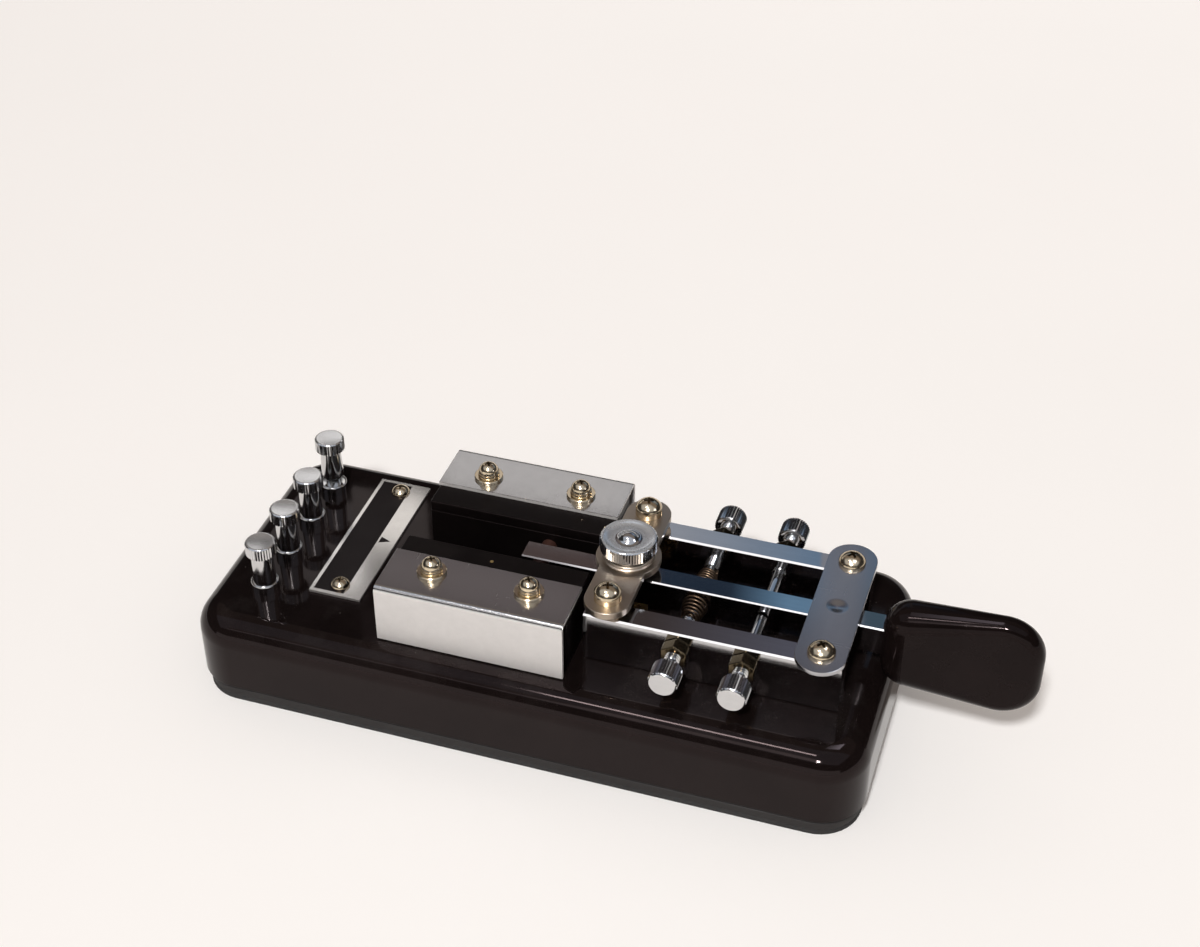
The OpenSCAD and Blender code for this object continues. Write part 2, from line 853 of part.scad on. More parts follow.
module lever() {
    color(steel)
        difference() {
            chamfered_bar(lever_back_x, lever_l, lever_w, lever_z, lever_h, lever_chamfer);
            for (s = [-1, 1])
                translate([tension_x, s * spring_seat_y, axis_z])
                    rotate([-90 * s, 0, 0])
                        cylinder(r = seat_r, h = spring_seat + cut);
            translate([pivot_x, 0, lever_z - cut])
                cylinder(r = pin_r + seat_gap, h = lever_h + 2 * cut);
            translate([lever_front_x - stud_in_lever, 0, lever_mid_z])
                rotate([0, 90, 0])
                    cylinder(r = paddle_stud_r + seat_gap, h = stud_in_lever + cut);
        }
}

module paddle_stud() {
    color(steel)
        translate([lever_front_x - stud_in_lever + blind_gap, 0, lever_mid_z])
            rotate([0, 90, 0])
                cylinder(r = paddle_stud_r, h = stud_in_lever + stud_in_paddle - 2 * blind_gap);
}

// Disc of thickness t standing across Y, its rim rolled with radius edge.
module cushion(r, t, edge) {
    rotate([90, 0, 0])
        rotate_extrude($fn = 40) {
            translate([0, -t / 2])
                square([r - edge, t]);
            translate([0, -t / 2 + edge])
                square([r, t - 2 * edge]);
            for (s = [-1, 1])
                translate([r - edge, s * (t / 2 - edge)])
                    intersection() {
                        circle(edge, $fn = 24);
                        translate([0, -edge])
                            square([edge, 2 * edge]);
                    }
        }
}

module paddle() {
    root_flat = 1.2;
    tip_flat = 0.6;
    root_edge = (paddle_root_t - root_flat) / 2;
    tip_edge = (paddle_tip_t - tip_flat) / 2;
    root_x = lever_front_x - paddle_lap + paddle_root_r;
    tip_x = lever_front_x - paddle_lap + paddle_l - paddle_tip_r;
    root_z = lever_mid_z - paddle_root_drop;
    tip_z = lever_mid_z - paddle_tip_drop;
    color(black)
        difference() {
            hull()
                for (s = [-1, 1]) {
                    translate([root_x, 0, root_z + s * (paddle_root_h / 2 - paddle_root_r)])
                        cushion(paddle_root_r, paddle_root_t, root_edge);
                    translate([tip_x, 0, tip_z + s * (paddle_tip_h / 2 - paddle_tip_r)])
                        cushion(paddle_tip_r, paddle_tip_t, tip_edge);
                }
            translate([lever_front_x - paddle_lap - cut, -lever_side_y - seat_gap, lever_z - seat_gap])
                cube([paddle_lap + cut, lever_w + 2 * seat_gap, lever_h + 2 * seat_gap]);
            translate([lever_front_x - cut, 0, lever_mid_z])
                rotate([0, 90, 0])
                    cylinder(r = paddle_stud_r + seat_gap, h = stud_in_paddle + cut);
        }
}

// Guide strap

module guide_strap() {
    strap_half = rail_out_y + strap_over - strap_w / 2;
    dimple_r = 2.6;
    dimple_depth = rail_top_z - lever_z - lever_h - dimple_gap;
    dent_ball_r = cap_ball_r(dimple_r, dimple_depth);
    color("lightsteelblue")
        difference() {
            union() {
                translate([strap_x, 0, rail_top_z])
                    linear_extrude(strap_t) {
                        square([strap_w, 2 * strap_half], center = true);
                        for (s = [-1, 1])
                            translate([0, s * strap_half])
                                circle(strap_w / 2);
                    }
                intersection() {
                    translate([strap_x, 0, rail_top_z - dimple_depth + dent_ball_r])
                        sphere(r = dent_ball_r);
                    translate([strap_x, 0, rail_top_z - dimple_depth - cut])
                        cylinder(r = 2 * dimple_r, h = dimple_depth + cut + strap_t / 2);
                }
            }
            translate([strap_x, 0, rail_top_z + strap_t - dimple_depth + dent_ball_r])
                sphere(r = dent_ball_r);
            for (s = [-1, 1])
                translate([strap_x, s * rail_mid_y, rail_top_z - cut])
                    cylinder(r = screw_r + screw_gap, h = strap_t + 2 * cut);
        }
}

module strap_screws() {
    color(brassy)
        for (s = [-1, 1])
            translate([strap_x, s * rail_mid_y, rail_top_z + strap_t])
                pan_screw(pan_r, pan_h, screw_r, strap_t + rail_hole_depth - hole_spare);
}

// Adjuster screws, modelled on the far side, pointing along Y

head_teeth = 28;
head_neck_r = adjuster_r + 0.2;
head_face_y = rail_out_y + head_out;
head_back_y = head_face_y - head_l;
pilot_r = 1.2;
pilot_l = 2.2;

// Knurled head, neck and thread from y0 out to the head.
module adjuster(x, y0) {
    translate([x, 0, axis_z])
        rotate([-90, 0, 0]) {
            translate([0, 0, y0])
                cylinder(r = adjuster_r, h = head_back_y - y0 + lap);
            translate([0, 0, head_back_y - head_neck_l])
                cylinder(r = head_neck_r, h = head_neck_l + lap);
            translate([0, 0, head_back_y])
                knurled(head_r, head_l, head_teeth);
        }
}

module tension_screw() {
    color(nickel) {
        adjuster(tension_x, shoulder_y);
        translate([tension_x, shoulder_y - pilot_l, axis_z])
            rotate([-90, 0, 0])
                cylinder(r = pilot_r, h = pilot_l + lap);
    }
}

module stop_screw() {
    thread_reach = 0.5;
    thread_y = rail_gap / 2 - thread_reach;
    color(nickel) {
        adjuster(stop_x, thread_y);
        translate([stop_x, lever_side_y + stop_gap, axis_z])
            rotate([-90, 0, 0])
                cylinder(r = stop_pin_r, h = thread_y - lever_side_y - stop_gap + lap);
    }
}

module far_tension_screw() { tension_screw(); }
module near_tension_screw() { near_side() tension_screw(); }
module far_stop_screw() { stop_screw(); }
module near_stop_screw() { near_side() stop_screw(); }

module lock_nuts() {
    color(brassy)
        for (x = [tension_x, stop_x], s = [-1, 1])
            translate([x, s * (rail_out_y + seat_gap), axis_z])
                rotate([-90 * s, 0, 0])
                    hex_nut(locknut_af, adjuster_r + run_gap, locknut_h);
}

// Springs, conical, wide at the lever

spring_turn_r = 0.75 * spring_wire;
spring_coil_l = spring_room - 2 * tip_gap - 2 * (spring_turn_r + spring_wire);
spring_steps = 8 * spring_curls;

// Angle, distance from the spring's seat and coil radius at step i of the coil.
function coil_angle(i) = 360 * i / 8;
function coil_out(i) = tip_gap + spring_wire + spring_turn_r + spring_coil_l * i / spring_steps;
function coil_r(i) = spring_wide_r + (spring_narrow_r - spring_wide_r) * i / spring_steps;

// One point of the wire, from its angle, radius and distance out.
function wire_point(a, r, out) = [r * cos(a), out, r * sin(a)];

// The wire's quarter turn and straight end at one end of the coil, dir -1 at the lever, 1 at the screw.
function wire_end(i, dir) =
    let (r = coil_r(i), a = coil_angle(i), out = coil_out(i), full = spring_turn_r * 180 / (PI * r))
    concat(
        [for (t = [30, 60, 90]) [a + dir * full * sin(t), r, out + dir * spring_turn_r * (1 - cos(t))]],
        [[a + dir * full, r, out + dir * (spring_turn_r + spring_wire)]]);

start_end = wire_end(0, -1);
spring_route = concat(
    [for (k = [3 : -1 : 0]) start_end[k]],
    [for (i = [0 : spring_steps]) [coil_angle(i), coil_r(i), coil_out(i)]],
    wire_end(spring_steps, 1));
spring_path = [for (q = spring_route) wire_point(q[0], q[1], q[2])];
spring_across = [for (q = spring_route) [cos(q[0]), 0, sin(q[0])]];

// Least gap between curls: points over half a curl apart along the wire.
spring_gap = min([for (i = [0 : len(spring_path) - 1], j = [i + 6 : 1 : len(spring_path) - 1])
    norm(spring_path[i] - spring_path[j])]) - spring_wire;
echo(spring_least_gap_mm = spring_gap);

module conical_spring() {
    color("peru")
        translate([tension_x, 0, axis_z])
            translate([0, spring_seat_y, 0])
                tube(spring_path, spring_across, spring_wire, 6);
}

module far_spring() { conical_spring(); }

module near_spring() {
    translate([2 * tension_x, 0, 0])
        rotate([0, 0, 180])
            conical_spring();
}

// Switches, modelled on the far side

boss_r = 4.2;
switch_out_y = switch_face_y + switch_d;
cavity_floor = 3;
plunger_room = 2.1;
plunger_in_y = switch_face_y + switch_wall + plunger_room;
blade_gap = 0.7;
blade_y = plunger_in_y + blade_gap;
blade_t = 0.4;
blade_h = 5;
contact_gap = 0.5;

module switch_case() {
    cavity_x = -switch_x - switch_l / 2 + switch_wall;
    cavity_l = switch_l - 2 * switch_wall;
    cavity_y = switch_face_y + switch_wall;
    cavity_d = switch_d - 2 * switch_wall;
    color([0.12, 0.11, 0.11])
        difference() {
            translate([-switch_x - switch_l / 2, switch_face_y, top_z])
                cube([switch_l, switch_d, switch_h - cover_t]);
            difference() {
                translate([cavity_x, cavity_y, top_z + cavity_floor])
                    cube([cavity_l, cavity_d, switch_h]);
                for (x = switch_screw_xs)
                    translate([x, switch_screw_y, top_z])
                        cylinder(r = boss_r, h = switch_h);
            }
            for (x = switch_screw_xs)
                translate([x, switch_screw_y, top_z - cut])
                    cylinder(r = screw_r + screw_gap, h = switch_h + 2 * cut);
            translate([plunger_x, switch_face_y - cut, lever_mid_z])
                rotate([-90, 0, 0])
                    cylinder(r = plunger_r + run_gap, h = switch_wall + 2 * cut);
            for (x = wire_xs)
                translate([x - lug_w / 2 - seat_gap, cavity_y + cut, lug_z - seat_gap])
                    cube([lug_w + 2 * seat_gap, switch_d, lug_t + 2 * seat_gap]);
        }
}

module switch_cover() {
    color([0.1, 0.1, 0.1])
        difference() {
            translate([-switch_x - switch_l / 2, switch_face_y, cover_z])
                cube([switch_l, switch_d, cover_t]);
            for (x = switch_screw_xs)
                translate([x, switch_screw_y, cover_z - cut])
                    cylinder(r = screw_r + screw_gap, h = cover_t + 2 * cut);
        }
}

module switch_blade() {
    tail = 1;
    nose = 6;
    blade_back_x = wire_xs[0] - tail;
    color("goldenrod")
        translate([blade_back_x, blade_y, lever_mid_z - blade_h / 2])
            cube([plunger_x + nose - blade_back_x, blade_t, blade_h]);
}

module switch_terminals() {
    post_h = lever_mid_z + blade_h / 2 - lug_z;
    post_w = lug_w * 2 / 3;
    post_t = 1;
    contact_r = 1.2;
    contact_h = 0.8;
    anchor_y = blade_y + blade_t;
    contact_y = anchor_y + contact_gap + contact_h;
    color("gold") {
        translate([wire_xs[0] - lug_w / 2, anchor_y, lug_z])
            cube([lug_w, lug_out_y - anchor_y, lug_t]);
        translate([wire_xs[0] - post_w / 2, anchor_y, lug_z])
            cube([post_w, post_t, post_h]);
        translate([wire_xs[1] - lug_w / 2, contact_y, lug_z])
            cube([lug_w, lug_out_y - contact_y, lug_t]);
        translate([wire_xs[1] - post_w / 2, contact_y, lug_z])
            cube([post_w, post_t, post_h]);
        translate([wire_xs[1], anchor_y + contact_gap, lever_mid_z])
            rotate([-90, 0, 0])
                cylinder(r = contact_r, h = contact_h + lap);
    }
}

module plunger() {
    flange_w = 0.9;
    flange_h = 1.2;
    tip_ball_r = 5;
    tip_y = lever_side_y + tip_gap;
    color("firebrick")
        translate([plunger_x, 0, lever_mid_z])
            rotate([-90, 0, 0]) {
                intersection() {
                    translate([0, 0, tip_y])
                        cylinder(r = plunger_r, h = plunger_in_y - tip_y);
                    translate([0, 0, tip_y + tip_ball_r])
                        union() {
                            sphere(r = tip_ball_r);
                            cylinder(r = tip_ball_r, h = plunger_in_y);
                        }
                }
                translate([0, 0, plunger_in_y - flange_h])
                    cylinder(r = plunger_r + flange_w, h = flange_h);
            }
}

module far_switch_case() { switch_case(); }
module near_switch_case() { near_side() switch_case(); }
module far_switch_cover() { switch_cover(); }
module near_switch_cover() { near_side() switch_cover(); }
module far_switch_blade() { switch_blade(); }
module near_switch_blade() { near_side() switch_blade(); }
module far_switch_terminals() { switch_terminals(); }
module near_switch_terminals() { near_side() switch_terminals(); }
module far_plunger() { plunger(); }
module near_plunger() { near_side() plunger(); }

// Brackets over the switches, and their fastenings

// End view of a bracket: a flat top, a bend and a side wall.
module bracket_profile() {
    bend_y = bracket_out_y - bracket_bend_r;
    bend_z = bracket_top_z - bracket_bend_r;
    foot_z = top_z + bracket_foot_gap;
    translate([bracket_in_y, bracket_top_z - bracket_t])
        square([bend_y - bracket_in_y, bracket_t]);
    translate([bracket_out_y - bracket_t, foot_z])
        square([bracket_t, bend_z - foot_z]);
    translate([bend_y, bend_z])
        intersection() {
            difference() {
                circle(bracket_bend_r);
                circle(bracket_bend_r - bracket_t);
            }
            square(bracket_bend_r);
        }
}

module bracket() {
    color("whitesmoke")
        difference() {
            translate([-switch_x - bracket_l / 2, 0, 0])
                rotate([90, 0, 90])
                    linear_extrude(bracket_l)
                        bracket_profile();
            for (x = switch_screw_xs)
                translate([x, switch_screw_y, switch_top_z - cut])
                    cylinder(r = screw_r + screw_gap, h = bracket_t + 2 * cut);
        }
}

module far_bracket() { bracket(); }
module near_bracket() { near_side() bracket(); }

module switch_washers() {
    color(brassy)
        for (x = switch_screw_xs, s = [-1, 1])
            translate([x, s * switch_screw_y, bracket_top_z])
                ring(flat_washer_r, screw_r + screw_gap, flat_washer_h);
}

module switch_lock_washers() {
    color(steel)
        for (x = switch_screw_xs, s = [-1, 1])
            translate([x, s * switch_screw_y, bracket_top_z + flat_washer_h])
                split_ring(lock_washer_r, screw_r + screw_gap, lock_washer_h);
}

module switch_screws() {
    head_z = bracket_top_z + flat_washer_h + lock_washer_h;
    color(brassy)
        for (x = switch_screw_xs, s = [-1, 1])
            translate([x, s * switch_screw_y, head_z])
                pan_screw(switch_pan_r, switch_pan_h, screw_r, head_z - pocket_z + nut_h + stud_end_h);
}

module switch_nuts() {
    color(brassy)
        for (x = switch_screw_xs, s = [-1, 1])
            translate([x, s * switch_screw_y, pocket_z - nut_h])
                hex_nut(nut_af, screw_r + screw_gap, nut_h);
}

// Wires from the switches' lugs down through the base and along its channels to the posts

wire_top_z = lug_z - tip_gap;
wire_nut_z = pocket_z - nut_h / 2;
wire_end_x = -post_x + post_nut_af / 2 + seat_gap;
over_drop = 2.4;
under_lift = 2.2;
outer_shift = 0.8;
inner_shift = 2;

// Route of a wire down from the lug at x on side s, at |y| = lane and z = run along the channel.
function wire_drop(x, s, lane, run) = [
    [x, s * wire_y, wire_top_z], [x, s * wire_y, top_z - cut], [x, s * wire_y, pocket_z + 2],
    [x - 0.6, s * (0.9 * wire_y + 0.1 * lane), pocket_z - 1],
    [x - 3, s * (0.3 * wire_y + 0.7 * lane), run + 0.6], [x - 8, s * lane, run]];

// The rest of a wire from its lane to the post at y, over the other wire or under it.
function wire_over(s, lane, run, y) = [
    for (q = [[-5, 0, 0], [0, 0.3, 0.4], [3.4, 0.8, 1.2], [5.4, 0.95, 2], [6.6, 1, over_drop]])
        [post_pocket_front_x - q[0], s * lane * (1 - q[1]) + y * q[1], run + q[2]]];

function wire_under(s, lane, run, y) = [
    for (q = [[-5, 0, 0], [-1, 0.01, 0], [2, 0.14, 0], [3.6, 0.42, 0.2], [4.6, 0.76, 1.8], [5.4, 0.95, 3.8],
            [6.4, 1, wire_nut_z - run]])
        [post_pocket_front_x - q[0], s * lane * (1 - q[1]) + y * q[1], run + q[2]]];

outer_lane = wire_y + outer_shift;
inner_lane = wire_y - inner_shift;
over_z = wire_nut_z - over_drop;
under_z = moulding_z + under_lift;
wire_routes = [
    for (s = [-1, 1])
        let (outer_post = post_ys[s > 0 ? 0 : 3], inner_post = post_ys[s > 0 ? 1 : 2])
            each [
                concat(wire_drop(wire_xs[0], s, outer_lane, over_z),
                    wire_over(s, outer_lane, over_z, outer_post), [[wire_end_x, outer_post, wire_nut_z]]),
                concat(wire_drop(wire_xs[1], s, inner_lane, under_z),
                    wire_under(s, inner_lane, under_z, inner_post), [[wire_end_x, inner_post, wire_nut_z]])]];

module hookup_wires() {
    lean = [0.6, 0.5, -0.6];
    color("firebrick")
        for (route = wire_routes)
            tube(route, [for (q = route) lean], wire_d, 8);
}

base_moulding();
ballast_plate();
ballast_screws();
rubber_mat();
nameplate();
nameplate_screws();
terminal_posts();
post_nuts();
terminal_nut_1();
terminal_nut_2();
terminal_nut_3();
terminal_nut_4();
near_rail();
far_rail();
rail_screws();
pivot_bridge();
bridge_spacers();
bridge_washers();
bridge_screws();
pivot_washer();
pivot_screw();
pivot_pin();
lower_bearing();
lever();
paddle();
paddle_stud();
guide_strap();
strap_screws();
near_tension_screw();
far_tension_screw();
near_stop_screw();
far_stop_screw();
lock_nuts();
near_spring();
far_spring();
near_switch_case();
far_switch_case();
near_switch_cover();
far_switch_cover();
near_switch_blade();
far_switch_blade();
near_switch_terminals();
far_switch_terminals();
near_plunger();
far_plunger();
near_bracket();
far_bracket();
switch_washers();
switch_lock_washers();
switch_screws();
switch_nuts();
hookup_wires();
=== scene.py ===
"""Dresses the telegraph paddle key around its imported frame: mouldings, plated metal, studio light."""

import logging
import math
from dataclasses import dataclass
from enum import Enum
from functools import cache
from typing import Iterable, Optional, Sequence, Union

import bmesh
import bpy
from mathutils import Matrix, Vector


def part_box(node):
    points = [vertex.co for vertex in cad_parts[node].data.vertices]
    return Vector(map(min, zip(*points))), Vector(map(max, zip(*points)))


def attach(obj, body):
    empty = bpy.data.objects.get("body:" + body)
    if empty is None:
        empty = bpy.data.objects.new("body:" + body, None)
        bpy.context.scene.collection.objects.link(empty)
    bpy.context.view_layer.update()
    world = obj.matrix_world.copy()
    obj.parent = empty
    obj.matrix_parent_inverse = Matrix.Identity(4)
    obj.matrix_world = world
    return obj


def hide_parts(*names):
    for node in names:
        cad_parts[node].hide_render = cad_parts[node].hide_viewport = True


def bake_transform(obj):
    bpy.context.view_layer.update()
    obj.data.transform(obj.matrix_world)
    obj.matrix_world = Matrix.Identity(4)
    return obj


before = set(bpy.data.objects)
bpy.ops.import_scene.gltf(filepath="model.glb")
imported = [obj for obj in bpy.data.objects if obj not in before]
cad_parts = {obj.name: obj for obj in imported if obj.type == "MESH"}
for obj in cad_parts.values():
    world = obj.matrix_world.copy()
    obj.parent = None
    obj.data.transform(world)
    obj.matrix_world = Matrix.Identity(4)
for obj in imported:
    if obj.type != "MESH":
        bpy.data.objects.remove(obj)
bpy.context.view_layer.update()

LOG = logging.getLogger("paddle_key")
MM = 0.001
TINY = 1e-6
SHARP = math.radians(40)

Colour = tuple[float, float, float]
Place = tuple[float, float, float]
Point = tuple[float, float]
Solid = bmesh.types.BMesh
Node = bpy.types.Node
Tree = bpy.types.NodeTree
Socket = bpy.types.NodeSocket
Value = Union[float, Sequence[float], Socket]

UNIT = (0.0, 1.0)


def at(x: float = 0.0, y: float = 0.0, z: float = 0.0) -> Matrix:
    """Place of an unturned piece."""
    return Matrix.Translation((x, y, z))


class Side(Enum):
    """The two sides of the lever, by the sign of Y."""

    NEAR = -1
    FAR = 1

    @property
    def label(self) -> str:
        """The side's word in the names of nodes and pieces."""
        return self.name.lower()

    def laid(self, x: float, z: float, out: float = 0.0) -> Matrix:
        """Place that lays a piece's Z axis along Y, outward from the lever."""
        return at(x, self.value * out, z) @ Matrix.Rotation(-self.value * math.pi / 2, 4, "X")


def middle(node: str) -> Vector:
    """Centre of a CAD node's box."""
    low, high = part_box(node)
    return (low + high) / 2


def outward(node: str) -> Point:
    """How far a CAD node's box begins and ends from the lever's middle plane."""
    low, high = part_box(node)
    return min(abs(low.y), abs(high.y)), max(abs(low.y), abs(high.y))


def arc(centre: Point, radius: float, start: float, end: float, steps: int) -> list[Point]:
    """Points along a circular arc.

    Args:
        centre: the arc's centre.
        radius: its radius.
        start: angle of the first point, in degrees.
        end: angle of the last point, in degrees.
        steps: how many chords it has.

    Returns:
        steps + 1 points.
    """
    angles = [math.radians(start + (end - start) * k / steps) for k in range(steps + 1)]
    return [(centre[0] + radius * math.cos(a), centre[1] + radius * math.sin(a)) for a in angles]


def put(name: str, data: bpy.types.ID) -> bpy.types.Object:
    """Makes an object and links it to the scene.

    Args:
        name: the object's name.
        data: its mesh, curve, lens or light.

    Returns:
        The object, at the origin.
    """
    made = bpy.data.objects.new(name, data)
    bpy.context.scene.collection.objects.link(made)
    return made


class Shape:
    """The few forms that the key's pieces are made of, as bmeshes in metres."""

    FOOT_ROLL = 0.25 * MM
    WASHER_EASE = 0.15 * MM

    @staticmethod
    def mesh(bm: Solid, name: str) -> bpy.types.Mesh:
        """Turns a shape into a mesh.

        Args:
            bm: the shape, which is used up.
            name: the mesh's name.

        Returns:
            The mesh.
        """
        made = bpy.data.meshes.new(name)
        bm.to_mesh(made)
        bm.free()
        return made

    @staticmethod
    def mended(bm: Solid) -> Solid:
        """Merges a shape's doubled points and turns its faces outward.

        Args:
            bm: the shape.

        Returns:
            The same shape.
        """
        bmesh.ops.remove_doubles(bm, verts=bm.verts, dist=TINY)
        bmesh.ops.recalc_face_normals(bm, faces=bm.faces)
        return bm

    @staticmethod
    def block(low: Vector, high: Vector) -> Solid:
        """Box between two corners.

        Args:
            low: lowest corner.
            high: highest corner.

        Returns:
            The box.
        """
        bm = bmesh.new()
        bmesh.ops.create_cube(bm, size=1.0)
        bmesh.ops.scale(bm, vec=high - low, verts=bm.verts)
        bmesh.ops.translate(bm, vec=(low + high) / 2, verts=bm.verts)
        return bm

    @staticmethod
    def rod(radius: float, length: float, steps: int) -> Solid:
        """Round bar along Z, with its middle at the origin.

        Args:
            radius: its radius.
            length: its length.
            steps: faces round it.

        Returns:
            The bar.
        """
        bm = bmesh.new()
        bmesh.ops.create_cone(bm, cap_ends=True, segments=steps, radius1=radius, radius2=radius, depth=length)
        return bm

    @staticmethod
    def soften(bm: Solid, edges: Iterable[bmesh.types.BMEdge], offset: float, segments: int) -> None:
        """Rounds some edges of a shape.

        Args:
            bm: the shape.
            edges: its edges to round.
            offset: width of the rounding.
            segments: faces across it.
        """
        bmesh.ops.bevel(bm, geom=list(edges), offset=offset, offset_type="OFFSET", affect="EDGES",
                        segments=segments, profile=0.5, material=-1, clamp_overlap=True)

    @staticmethod
    def crisp(bm: Solid, offset: float, segments: int = 2) -> Solid:
        """Rounds every sharp edge of a shape a little.

        Args:
            bm: the shape.
            offset: width of the rounding.
            segments: faces across it.

        Returns:
            The same shape.
        """
        bm.normal_update()
        sharp = [e for e in bm.edges if e.is_manifold and e.calc_face_angle(0.0) > SHARP]
        Shape.soften(bm, sharp, offset, segments)
        return bm

    @staticmethod
    def rolled_slab(low: Vector, high: Vector, corner: float, edge: float, steps: int) -> Solid:
        """Slab with round plan corners and a rolled top edge.

        Args:
            low: lowest corner.
            high: highest corner.
            corner: plan radius of the corners.
            edge: radius of the top edge.
            steps: faces across each rounding.

        Returns:
            The slab.
        """
        bm = Shape.block(low, high)
        uprights = [e for e in bm.edges if abs(e.verts[0].co.z - e.verts[1].co.z) > TINY]
        Shape.soften(bm, uprights, corner, 2 * steps)
        for level, roll, across in ((high.z, edge, steps), (low.z, Shape.FOOT_ROLL, 2)):
            rim = [e for e in bm.edges if all(abs(v.co.z - level) < TINY for v in e.verts)]
            Shape.soften(bm, rim, roll, across)
        return bm

    @staticmethod
    def turned(profile: Sequence[Point], steps: int = 64, closed: bool = False) -> Solid:
        """Solid turned about Z.

        Args:
            profile: (radius, height) points.
            steps: faces round the axis.
            closed: whether the last point joins the first, as on a ring.

        Returns:
            The solid.
        """
        bm = bmesh.new()
        verts = [bm.verts.new((r, 0.0, z)) for r, z in profile]
        edges = [bm.edges.new(pair) for pair in zip(verts, verts[1:])]
        if closed:
            edges.append(bm.edges.new((verts[-1], verts[0])))
        bmesh.ops.spin(bm, geom=verts + edges, cent=(0, 0, 0), axis=(0, 0, 1), angle=2 * math.pi,
                       steps=steps, use_merge=True)
        return Shape.mended(bm)

    @staticmethod
    def washer(bore: float, radius: float, low: float, high: float, steps: int) -> Solid:
        """Flat ring with eased outer edges.

        Args:
            bore: radius of its hole.
            radius: outer radius.
            low: height of its underside.
            high: height of its top.
            steps: faces round it.

        Returns:
            The ring.
        """
        ease = Shape.WASHER_EASE
        profile = [(bore, low), (radius - ease, low), (radius, low + ease), (radius, high - ease),
                   (radius - ease, high), (bore, high)]
        return Shape.turned(profile, steps, closed=True)

    @staticmethod
    def lofted(sections: Sequence[Sequence[Vector]]) -> Solid:
        """Solid stretched over closed sections that all have the same number of points.

        Args:
            sections: the sections in order, each with its points in order.

        Returns:
            The solid, capped at both ends.
        """
        bm = bmesh.new()
        bmesh.ops.create_circle(bm, cap_ends=True, segments=len(sections[0]), radius=1.0)
        ring = sorted(bm.verts, key=lambda v: math.atan2(v.co.y, v.co.x))
        edges = list(bm.edges)
        for v, place in zip(ring, sections[0]):
            v.co = place
        for section in sections[1:]:
            grown = bmesh.ops.extrude_edge_only(bm, edges=edges)["geom"]
            fresh = {g for g in grown if isinstance(g, bmesh.types.BMVert)}
            edges = [g for g in grown if isinstance(g, bmesh.types.BMEdge) and set(g.verts) <= fresh]
            after = {e.other_vert(v): v for v in fresh for e in v.link_edges
                     if e.other_vert(v) not in fresh}
            ring = [after[v] for v in ring]
            for v, place in zip(ring, section):
                v.co = place
        bmesh.ops.edgeloop_fill(bm, edges=edges)
        bmesh.ops.recalc_face_normals(bm, faces=bm.faces)
        return bm

    @staticmethod
    def knurled(below: Sequence[Point], band: Point, above: Sequence[Point], radii: Point,
                teeth: int) -> Solid:
        """Solid of round sections stacked along Z, with a toothed band among them.

        Args:
            below: (height, radius) of the sections under the band, from the foot up.
            band: heights of the band's two ends.
            above: (height, radius) of the sections over the band.
            radii: radius of the band at its teeth and between them.
            teeth: teeth round the band.

        Returns:
            The solid, capped at both ends.
        """
        rings = [*((z, (r, r)) for z, r in below), *((z, radii) for z in band),
                 *((z, (r, r)) for z, r in above)]
        step = math.pi / teeth
        sections = []
        for z, pair in rings:
            sections.append([Vector((pair[k % 2] * math.cos(k * step), pair[k % 2] * math.sin(k * step), z))
                             for k in range(2 * teeth)])
        return Shape.lofted(sections)

    @staticmethod
    def slab(outline: Sequence[Point], low: float, high: float) -> Solid:
        """Plan outline pulled up from one height to another.

        Args:
            outline: points in X and Y.
            low: height of the underside.
            high: height of the top.

        Returns:
            The solid.
        """
        bm = bmesh.new()
        face = bm.faces.new([bm.verts.new((x, y, low)) for x, y in outline])
        grown = bmesh.ops.extrude_face_region(bm, geom=[face])["geom"]
        top = [g for g in grown if isinstance(g, bmesh.types.BMVert)]
        bmesh.ops.translate(bm, vec=(0, 0, high - low), verts=top)
        return Shape.mended(bm)

    @staticmethod
    def placed(bm: Solid, place: Matrix) -> Solid:
        """Moves a shape and keeps its faces outward.

        Args:
            bm: the shape.
            place: where it goes.

        Returns:
            The same shape.
        """
        bmesh.ops.transform(bm, matrix=place, verts=bm.verts)
        if place.determinant() < 0:
            bmesh.ops.reverse_faces(bm, faces=bm.faces)
        return bm

    @staticmethod
    def joined(parts: Iterable[Solid]) -> Solid:
        """Gathers several shapes into one piece.

        Args:
            parts: the shapes, which are used up.

        Returns:
            All of them as one shape.
        """
        whole = bmesh.new()
        for part in parts:
            shell = Shape.mesh(part, "shell")
            whole.from_mesh(shell)
            bpy.data.meshes.remove(shell)
        return whole

    @staticmethod
    def copies(part: Solid, places: Iterable[Matrix]) -> Solid:
        """One shape repeated at several places, as one piece.

        Args:
            part: the shape, which is used up.
            places: where its copies go.

        Returns:
            All the copies.
        """
        made = Shape.joined([Shape.placed(part.copy(), place) for place in places])
        part.free()
        return made

    @staticmethod
    def cut(bm: Solid, tool: Solid) -> Solid:
        """Takes a tool's solid out of a shape.

        Args:
            bm: the shape, which is used up.
            tool: the solid to take out, which is used up.

        Returns:
            What is left.
        """
        bodies = [put("cut", Shape.mesh(part, "cut")) for part in (bm, tool)]
        modifier = bodies[0].modifiers.new("cut", "BOOLEAN")
        modifier.operation = "DIFFERENCE"
        modifier.solver = "EXACT"
        modifier.object = bodies[1]
        bpy.context.view_layer.update()
        evaluated = bodies[0].evaluated_get(bpy.context.evaluated_depsgraph_get())
        left = bmesh.new()
        left.from_mesh(evaluated.to_mesh())
        evaluated.to_mesh_clear()
        for body in bodies:
            mesh = body.data
            bpy.data.objects.remove(body)
            bpy.data.meshes.remove(mesh)
        return left


